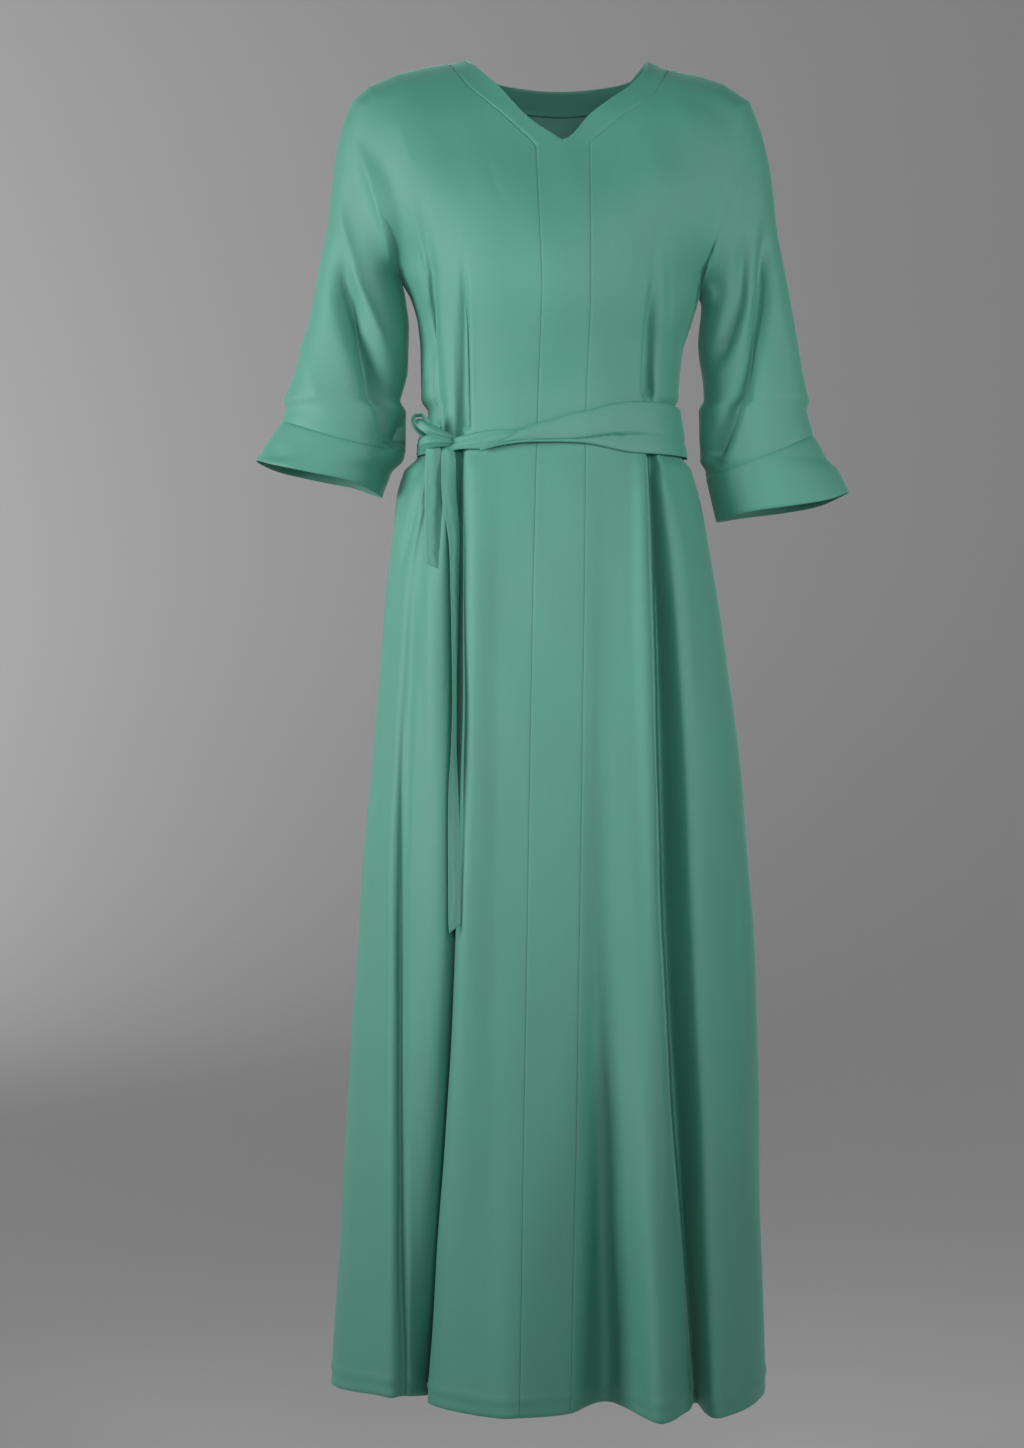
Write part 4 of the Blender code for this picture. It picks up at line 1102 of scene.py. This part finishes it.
# %% [markdown]
# ## Cuffs and neck bands
#
# These are strips folded double, with the fold at the free edge. The outer layer follows the shared
# surface; the inner one is the same surface again, a little inside it.

# %% Doubled strips
BAND_GAP = 1.0              # mm between the middles of the two layers
BAND_WALL = 0.7             # mm, thickness of a layer


def doubled(name, index, fold_row, face, node, closed):
    """A strip folded double: outer layer, rounded fold, inner layer."""
    if fold_row == 0:
        index = index[::-1]
        face = -face
    outer, lean = points[index], normals[index]
    fold = outer[-1] - lean[-1] * BAND_GAP / 2
    down = unit(outer[-1] - outer[-2])
    fold = fold + down * BAND_GAP / 2
    inner = outer[::-1] - lean[::-1] * BAND_GAP
    layers = np.concatenate([outer, fold[None], inner])
    leans = np.concatenate([lean, down[None], -lean[::-1]])
    rows, columns = layers.shape[:2]
    number = np.arange(rows * columns).reshape(rows, columns)
    if closed:
        number[:, -1] = number[:, 0]
    spots, tilt = layers.reshape(-1, 3), leans.reshape(-1, 3)
    open_edges = np.zeros(rows * columns, bool)
    made = shell(name, quads_of(number, face), spots, tilt, open_edges, wall=BAND_WALL)
    finish(made, node, "band_cloth")


BANDS = [
    # piece, grid, fold row, face, node, flat width and length, closed ring
    ("right_cuff", "cuff_right", -1, -1, "cuff_right", (0.10, 0.40), True),
    ("left_cuff", "cuff_left", -1, -1, "cuff_left", (0.11, 0.39), True),
    ("right_neck_band", "band_right", 0, -1, "neck_band_front_right", (0.05, 0.16), False),
    ("left_neck_band", "band_left", 0, -1, "neck_band_front_left", (0.05, 0.15), False),
    ("back_neck_band", "band_back", 0, 1, "neck_band_back", (0.05, 0.24), False),
]
for name, grid, fold_row, face, node, flat, closed in BANDS:
    doubled(name, place[grid], fold_row, face, node, closed)

# %% [markdown]
# ## The belt
#
# The belt is one long strip, tied beside the wearer's right hip. Round the back and at the left it
# lies flat and wide. Towards the knot it turns over: the wide part narrows to a point along its lower
# edge, and the strip's other side comes out above it. Both parts follow the plain section of the
# body, a few millimetres out, or in at the sides, and their edges come from a table.

# %% Places on the body and in the picture
def outside(x, z, face, standoff):
    """Points outside the plain section by the standoff, square to it."""
    right, left = body(1, z), body(2, z)
    deep = np.where(face < 0, body(3, z), body(4, z))
    middle, half = (left + right) / 2, (left - right) / 2
    across = np.clip((x - middle) / half, -1, 1)
    y = section(x, z, face)
    lean_x = np.sign(across) * np.abs(across) ** (ROUND - 1) / half
    lean_y = face * np.abs(y / deep) ** (ROUND - 1) / deep
    length = np.hypot(lean_x, lean_y)
    return np.stack([middle + half * across + lean_x / length * standoff,
                     y + lean_y / length * standoff, z + 0 * x], axis=-1)


def from_seen(seen_x, seen_z, y):
    """The place at depth y that is seen at a place on the plane of the side seams."""
    scale = 1 + y * MM / DISTANCE
    return AIM_X + (seen_x - AIM_X) * scale, AIM_Z + (seen_z - AIM_Z) * scale


# %% Belt round the waist
BELT_REACH = 139            # mm; x of a place on the belt is this times the sine of its angle
BELT_ROWS = 26
BAND = [
    # x, top, crease, bottom, depth of the crease, standoff
    (-68, -386.6, -387.8, -388.6, 0, 7.5),
    (-52, -381.2, -383.0, -384.3, 0, 8.0),
    (-44, -376.8, -381.0, -382.8, 0, 8.0),
    (-27, -367.3, -379.0, -381.0, 0, 7.5),
    (-16, -363.0, -378.6, -380.6, 0.3, 6.5),
    (2, -358.7, -378.4, -380.6, 0.8, 6.0),
    (22, -352.0, -378.0, -381.0, 1.6, 6.0),
    (34, -350.0, -376.6, -382.0, 2.4, 6.0),
    (60, -342.4, -373.4, -386.8, 2.8, 6.0),
    (79, -339.8, -373.0, -389.6, 2.4, 6.0),
    (94, -339.2, -373.4, -389.9, 1.4, 6.0),
    (122, -341.0, -374.0, -390.0, 0.3, 2.6),
    (141, -343.0, -374.0, -389.5, 0, -2.2),
]
BELT_BACK = (-343, -389)
BELT_LEFT = (-362, -388)    # its height at the wearer's right side, where it is bunched
BUNCHED = 1.5               # how high the small pleats of its bunched part stand
KNOT_EDGE = (-114, -376, -388)      # x, top and bottom where it goes in under the knot
# mm that it lies outside the plain section, at the picture's left and right and at the back
BELT_LEFT_STANDOFF, BELT_RIGHT_STANDOFF, BELT_BACK_STANDOFF = -5.2, -2.6, 5.0
BAND_BULGE = 1.6
PLAIN = 0.999               # a crease this low down leaves the band one plain bulge


def band_profile(share, crease, groove):
    """How far the band's middle stands out across its height, from its top edge down."""
    upper = np.sin(np.pi * np.clip(share / crease, 0, 1)) ** 0.7
    lower = np.sin(np.pi * np.clip((share - crease) / (1 - crease), 0, 1)) ** 0.7
    fold = ease((share - crease + 0.05) / 0.05)
    return BAND_BULGE * upper + (0.6 * BAND_BULGE * lower - groove) * fold


# %% The belt's three stretches: front, back, and up to the knot
rows = np.linspace(0, 1, BELT_ROWS + 1)[:, None]
grids = []


def stretch_of_belt(x, face, top, bottom, out):
    """Add a stretch of the belt, from its edges and its distance outside the section."""
    z = top + (bottom - top) * rows
    grids.append(outside(x + 0 * z, z, face, out))


table = np.array(BAND, float)
x = BELT_REACH * np.sin(np.linspace(math.asin(BAND[0][0] / BELT_REACH), math.pi / 2, 110))
top, crease, bottom, groove, standoff = [smooth_table(table[:, 0], table[:, k], x) for k in range(1, 6)]
wave = 0.5 * wobble(x, 21, 90) * rows * (1 - rows) * 4
stretch_of_belt(x, -1, top, bottom,
                standoff + wave + band_profile(rows, (crease - top) / (bottom - top), groove))

x = BELT_REACH * np.sin(np.linspace(math.pi / 2, -math.pi / 2, 150)[1:])
from_side = BELT_REACH - np.abs(x)
blend = ease((x + BELT_REACH) / 46)
top, bottom = [BELT_LEFT[k] + (BELT_BACK[k] - BELT_LEFT[k]) * blend for k in (0, 1)]
wave = 1.1 * wobble(x, 22, 120) * rows * (1 - rows) * 4
at_side = np.where(x < 0, BELT_LEFT_STANDOFF, BELT_RIGHT_STANDOFF)
standoff = at_side + (BELT_BACK_STANDOFF - at_side) * ease(from_side / 50)
pleats = BUNCHED * (1 - blend) * np.sin(rows * 15 + 0.6 * wobble(x, 23, 50)) * np.sin(np.pi * rows)
stretch_of_belt(x, 1, top, bottom,
                standoff + wave * ease(from_side / 30) + band_profile(rows, PLAIN, 0) + pleats)

x = BELT_REACH * np.sin(np.linspace(-math.pi / 2, math.asin(KNOT_EDGE[0] / BELT_REACH), 14)[1:])
top, bottom = [np.interp(x, (-BELT_REACH, KNOT_EDGE[0]), (BELT_LEFT[k], KNOT_EDGE[k + 1])) for k in (0, 1)]
standoff = np.interp(x, (-BELT_REACH, KNOT_EDGE[0] - 10, KNOT_EDGE[0]), (BELT_LEFT_STANDOFF, 1, 6))
stretch_of_belt(x, -1, top, bottom, standoff + band_profile(rows, PLAIN, 0))


def open_strip(name, grid, node, wall):
    """A piece from a grid of points whose rows run down and columns to the right, seen from outside."""
    spots = grid.reshape(-1, 3)
    faces = quads_of(np.arange(len(spots)).reshape(grid.shape[:2]), -1)
    lean = surface_normals(spots, faces)
    made = shell(name, faces, spots, lean, np.zeros(len(spots), bool), wall=wall)
    finish(made, node, "belt_cloth")


BELT_WALL, TIE_WALL = 0.9, 0.8
open_strip("belt_band", np.concatenate(grids, axis=1), "belt_waist", BELT_WALL)

# %% The belt's turned-over part
STRAND = [
    # x, top, bottom, standoff
    (-114, -378, -389, 7.0),
    (-108, -377.6, -389.4, 8.5),
    (-100, -376.8, -388.4, 8.0),
    (-84, -373.2, -386.2, 6.5),
    (-63, -369.0, -386.6, 5.0),
    (-52, -368.0, -384.0, 4.4),
    (-27, -368.4, -379.0, 4.0),
    (-12, -369.0, -376.5, 4.0),
]
table = np.array(STRAND, float)
x = np.linspace(STRAND[0][0], STRAND[-1][0], 60)
rows = np.linspace(0, 1, 15)[:, None]
top, bottom, standoff = [smooth_table(table[:, 0], table[:, k], x) for k in (1, 2, 3)]
z = top + (bottom - top) * rows
ripple = 0.45 * np.sin(rows * 9 + x / 19) * rows * (1 - rows) * 4
strand = outside(x + 0 * z, z, -1, standoff + ripple + 1.8 * np.sin(np.pi * rows) ** 0.7)
open_strip("belt_turned_part", strand, "belt_waist", BELT_WALL)

# %% [markdown]
# ## The knot, its loop and the hanging ends
#
# A knot reads as cloth only when its strips can be followed, so each is a strip of its own along a
# given row of stations: where its middle is seen, how far out it lies, how wide it is there,
# how it is turned and how much it is crowned. Small lengthwise pleats show that it is squeezed.

# %% Strips along listed stations
def strip_along(rows, lengthwise, across_count, pleats, pleat_count, seed):
    """Grid of points of a strip. A row: seen x, seen z, y, width, turn in degrees, crown, slant."""
    stations = smooth_curve(np.array(rows, float), lengthwise)
    seen_x, seen_z, y, width, turn, crown, slant = stations.T
    x, z = from_seen(seen_x, seen_z, y)
    path = np.stack([x, y, z], axis=-1)
    run = unit(np.gradient(path, axis=0))
    face_to = unit(np.array([0, -1.0, 0]) + run * run[:, [1]])
    aside = np.cross(face_to, run)
    turn = np.radians(turn)[:, None]
    across = aside * np.cos(turn) + face_to * np.sin(turn)
    facing = face_to * np.cos(turn) - aside * np.sin(turn)
    u = np.linspace(-1, 1, across_count)[None, :, None]
    half = width[:, None, None] / 2
    length = reach_along(path)
    shift = wobble(length, 31 + seed, 60)[:, None, None]
    bulge = crown[:, None, None] * half * (1 - u**2) \
        + pleats * np.cos(u * pleat_count * np.pi + shift * 1.5) * (1 - u**4)
    return path[:, None] + across[:, None] * half * u + facing[:, None] * bulge \
        + run[:, None] * slant[:, None, None] * u


TIES = {
    # piece: node, held, pleats, pleat count, points along, points across, rows of
    # (seen x, seen z, y, width, turn, crown, slant)
    "knot_wrap": ("belt_knot", "folded", 0.35, 2.2, 44, 21, [
        (-131, -377, -72, 10, -10, 0.2, 0),
        (-127.5, -374, -84, 12.5, -6, 0.5, 0),
        (-122, -371.5, -91, 13.5, -3, 0.6, 0),
        (-114, -370.8, -92, 12, 0, 0.6, 0),
        (-107, -371.5, -91, 9.5, 4, 0.6, 0),
        (-102, -372.5, -86, 7.5, 6, 0.5, 0),
        (-99, -374, -79, 6.5, 8, 0.3, 0)]),
    "knot_crossing": ("belt_knot", "folded", 0.25, 1.6, 50, 17, [
        (-134, -350, -78, 8, -50, 0.3, 0),
        (-129, -354, -82, 10.5, -25, 0.45, 0),
        (-122, -359.5, -85, 11.5, -10, 0.5, 0),
        (-113, -363.8, -85, 10, -4, 0.5, 0),
        (-104, -367.5, -84, 8, 0, 0.5, 0),
        (-97, -371.5, -80, 6.5, 0, 0.4, 0)]),
    "knot_loop": ("belt_loop", "folded", 0.15, 1.2, 70, 15, [
        (-127.5, -366, -78, 10.4, 60, 0.2, 0),
        (-133, -362, -79, 11, 66, 0.25, 0),
        (-138, -356, -80, 11, 72, 0.25, 0),
        (-139.6, -350.5, -80.5, 11, 76, 0.2, 0),
        (-136.5, -345.6, -81, 11, 78, 0.2, 0),
        (-131, -344.8, -81, 11, 78, 0.2, 0),
        (-126.5, -349, -81, 11, 72, 0.2, 0),
        (-123.5, -354.5, -80, 11, 60, 0.2, 0)]),
    "short_tie_end": ("belt_tie_end_short", "hung", 0.3, 1.4, 90, 21, [
        (-120, -371, -84, 11, 0, 0.22, 0),
        (-118.8, -380, -89, 14, -4, 0.25, 0),
        (-118.4, -392, -90, 16, -8, 0.22, 0),
        (-118.4, -420, -92, 17, -10, 0.20, 0),
        (-118, -450, -95.5, 17.5, -10, 0.16, 0),
        (-117.4, -475, -98.5, 17.5, -8, 0.13, 0),
        (-117, -497, -101, 16.5, -6, 0.10, 4)]),
    "long_tie_end": ("belt_tie_end_long", "hung", 0.25, 1.5, 190, 19, [
        (-108, -373, -84, 8, 0, 0.20, 0),
        (-104.5, -380, -88, 11.5, -6, 0.22, 0),
        (-103.3, -392, -90, 14, -12, 0.20, 0),
        (-103.2, -410, -93, 15, -20, 0.18, 0),
        (-102, -435, -98, 14.5, -18, 0.16, 0),
        (-99, -455, -103, 14, -32, 0.15, 0),
        (-97.5, -480, -107, 12.5, -42, 0.12, 0),
        (-97.5, -520, -112, 11.5, -52, 0.10, 0),
        (-97.5, -570, -119, 10.5, -62, 0.08, 0),
        (-97.5, -630, -127, 10, -72, 0.06, 0),
        (-98.2, -680, -132, 10.5, -64, 0.06, 0),
        (-98.5, -720, -135, 11.5, -40, 0.06, 0),
        (-98, -770, -138, 11.5, -20, 0.06, 0),
        (-97.5, -820, -141, 11.5, -12, 0.05, 0),
        (-97.6, -850, -143, 11.2, -10, 0.04, -1),
        (-97.6, -859, -143.4, 9.5, -8, 0.02, -4)]),
}
for name, (node, held, pleats, pleat_count, along, across_count, rows) in TIES.items():
    grid = strip_along(rows, along, across_count, pleats, pleat_count, len(name))
    open_strip(name, grid, node, TIE_WALL)

# %% [markdown]
# ## Stitches inside the hem and the cuffs
#
# The hem and the cuffs are caught down by hand, with small slanting stitches that show inside only.
# They repeat along a line, so a node group makes them: it lays the line out in even steps and puts a
# short thread on each.

# %% Stitch node group
def stitch_group():
    """Short threads along a line of edges."""
    tree = bpy.data.node_groups.new("stitches", "GeometryNodeTree")
    tree.interface.new_socket(name="Line", in_out="INPUT", socket_type="NodeSocketGeometry")
    for name, value in (("Spacing", 0.008), ("Stitch length", 0.003), ("Thread width", 0.0004),
                        ("Slant", 0.5)):
        new_input(tree, name, "NodeSocketFloat", value)
    tree.interface.new_socket(name="Thread", in_out="INPUT", socket_type="NodeSocketMaterial")
    tree.interface.new_socket(name="Stitches", in_out="OUTPUT", socket_type="NodeSocketGeometry")
    given = tree.nodes.new("NodeGroupInput").outputs
    curve = add_node(tree, "GeometryNodeMeshToCurve", {"Mesh": given["Line"]})
    steps = add_node(tree, "GeometryNodeResampleCurve",
                     {"Curve": curve.outputs["Curve"], "Length": given["Spacing"]}, mode="LENGTH")
    thread = add_node(tree, "GeometryNodeMeshUVSphere", {"Segments": 6, "Rings": 5, "Radius": 0.5})
    size = add_node(tree, "ShaderNodeCombineXYZ", {"X": given["Thread width"], "Y": given["Thread width"],
                                                   "Z": given["Stitch length"]})
    tangent = tree.nodes.new("GeometryNodeInputTangent").outputs["Tangent"]
    raised = add_node(tree, "ShaderNodeCombineXYZ", {"Z": given["Slant"]})
    way = add_node(tree, "ShaderNodeVectorMath", {0: tangent, 1: raised.outputs["Vector"]}, operation="ADD")
    turn = add_node(tree, "FunctionNodeAlignRotationToVector", {"Vector": way.outputs["Vector"]}, axis="Z")
    placed = add_node(tree, "GeometryNodeInstanceOnPoints",
                      {"Points": steps.outputs["Curve"], "Instance": thread.outputs["Mesh"],
                       "Rotation": turn.outputs["Rotation"], "Scale": size.outputs["Vector"]})
    real = add_node(tree, "GeometryNodeRealizeInstances", {"Geometry": placed.outputs["Instances"]})
    painted = add_node(tree, "GeometryNodeSetMaterial",
                       {"Geometry": real.outputs["Geometry"], "Material": given["Thread"]})
    add_node(tree, "NodeGroupOutput", {"Stitches": painted.outputs["Geometry"]})
    return tree


STITCHES = stitch_group()
THREAD = satin_crepe("thread", (0.012, 0.19, 0.125, 1.0), 0.6, 0.2)


def stitch_along(name, spots, closed, sizes):
    """A mesh of stitches along a line of points in millimetres."""
    given = {**sizes, "Thread": THREAD}
    count = len(spots)
    links = [(k, (k + 1) % count) for k in range(count if closed else count - 1)]
    mesh = bpy.data.meshes.new(name + "_line")
    mesh.from_pydata((spots * MM).tolist(), links, [])
    line = new_object(name + "_line", mesh)
    grower = line.modifiers.new("stitches", "NODES")
    grower.node_group = STITCHES
    for socket in STITCHES.interface.items_tree:
        if socket.in_out == "INPUT" and socket.name in given:
            grower[socket.identifier] = given[socket.name]
    bpy.context.view_layer.update()
    grown = bpy.data.meshes.new_from_object(line.evaluated_get(bpy.context.evaluated_depsgraph_get()))
    bpy.data.objects.remove(line)
    grown.name = name
    grown.shade_smooth()
    made = new_object(name, grown)
    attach(made, "root")
    print(name, len(grown.polygons), "faces")


# %% Sew the hem and the cuffs
HEM_LAYERS, CUFF_LAYERS = 2.6, BAND_GAP + 0.5      # mm that the stitches lie inside the outer cloth
for side in ("front", "back"):
    caught = place[side][-HEM_ROWS]
    stitch_along("hem_stitches_" + side, points[caught] - normals[caught] * HEM_LAYERS, False,
                 {"Spacing": 0.009, "Stitch length": 0.0035})
for side in ("right", "left"):
    caught = place["cuff_" + side][1][:-1]
    stitch_along("cuff_stitches_" + side, points[caught] - normals[caught] * CUFF_LAYERS, True,
                 {"Spacing": 0.006, "Stitch length": 0.0025})

# %% [markdown]
# ## Stage and lights
#
# The picture was taken in front of a plain wall with one soft light at the left. The floor here sweeps
# up into a wall, with no corner to see. Narrow lights leave the hem darker than the waist.

# %% Stage
FLOOR = -1.50               # metres
TURNS = 72                  # corners of the floor's rim
BOWL = [(0.0, FLOOR), (2.5, FLOOR), (4.5, FLOOR + 0.1), (6.5, FLOOR + 0.9), (7.8, FLOOR + 3),
        (8.2, FLOOR + 7)]


def bowl():
    """A wide floor that sweeps up into a wall on every side."""
    curve = smooth_curve(BOWL, 40)
    angle = np.arange(TURNS) / TURNS * 2 * np.pi
    ring = np.stack([np.stack([r * np.cos(angle), r * np.sin(angle), np.full(TURNS, z)], axis=-1)
                     for r, z in curve[1:]])
    corners = np.concatenate([[[0, 0, FLOOR]], ring.reshape(-1, 3)])
    faces = []
    for k in range(TURNS):
        following = (k + 1) % TURNS
        faces.append([0, 1 + k, 1 + following])
        for row in range(len(ring) - 1):
            a, b = 1 + row * TURNS + k, 1 + row * TURNS + following
            faces.append([a, a + TURNS, b + TURNS, b])
    mesh = bpy.data.meshes.new("floor")
    mesh.from_pydata(corners.tolist(), [], faces)
    mesh.shade_smooth()
    return new_object("floor", mesh)


floor = bowl()
paper = bpy.data.materials.new("floor_paper")
paper.use_nodes = True
set_inputs(paper.node_tree.nodes["Principled BSDF"], {
    "Base Color": (0.42, 0.42, 0.42, 1), "Roughness": 0.9, "Specular IOR Level": 0.1,
    "Emission Color": (1, 1, 1, 1), "Emission Strength": 0.13})
floor.data.materials.append(paper)
print("floor of", len(floor.data.polygons), "faces")

# %% Lights
LIGHTS = [
    # name, place, aim, width, height, watts, spread in degrees
    ("key", (-2.15, -0.95, -0.05), (0.0, -0.05, -0.36), 0.9, 1.0, 10.6, 78),
    ("front", (0.25, -2.6, -0.10), (0.0, 0.0, -0.38), 0.8, 0.7, 3.7, 62),
    ("side", (2.0, -1.2, -0.15), (0.0, 0.0, -0.36), 0.8, 1.0, 4.4, 80),
    ("backdrop", (-3.9, 2.6, 0.7), (-4.6, 6.6, -0.8), 2.4, 2.4, 150, 130),
    ("top", (0.0, 1.2, 2.0), (0.0, 0.0, -0.2), 1.6, 1.2, 3, 120),
]
for name, spot, aim, width, height, watts, spread in LIGHTS:
    lamp = bpy.data.lights.new(name, "AREA")
    lamp.shape = "RECTANGLE"
    lamp.size, lamp.size_y, lamp.energy = width, height, watts
    lamp.spread = math.radians(spread)
    holder = new_object(name, lamp)
    holder.location = spot
    holder.rotation_euler = (Vector(aim) - Vector(spot)).to_track_quat("-Z", "Y").to_euler()
world = bpy.data.worlds.new("studio")
world.use_nodes = True
set_inputs(world.node_tree.nodes["Background"], {"Color": (0.8, 0.82, 0.84, 1), "Strength": 0.03})
bpy.context.scene.world = world
bpy.context.scene.view_settings.view_transform = "Standard"
print("lights:", [row[0] for row in LIGHTS])
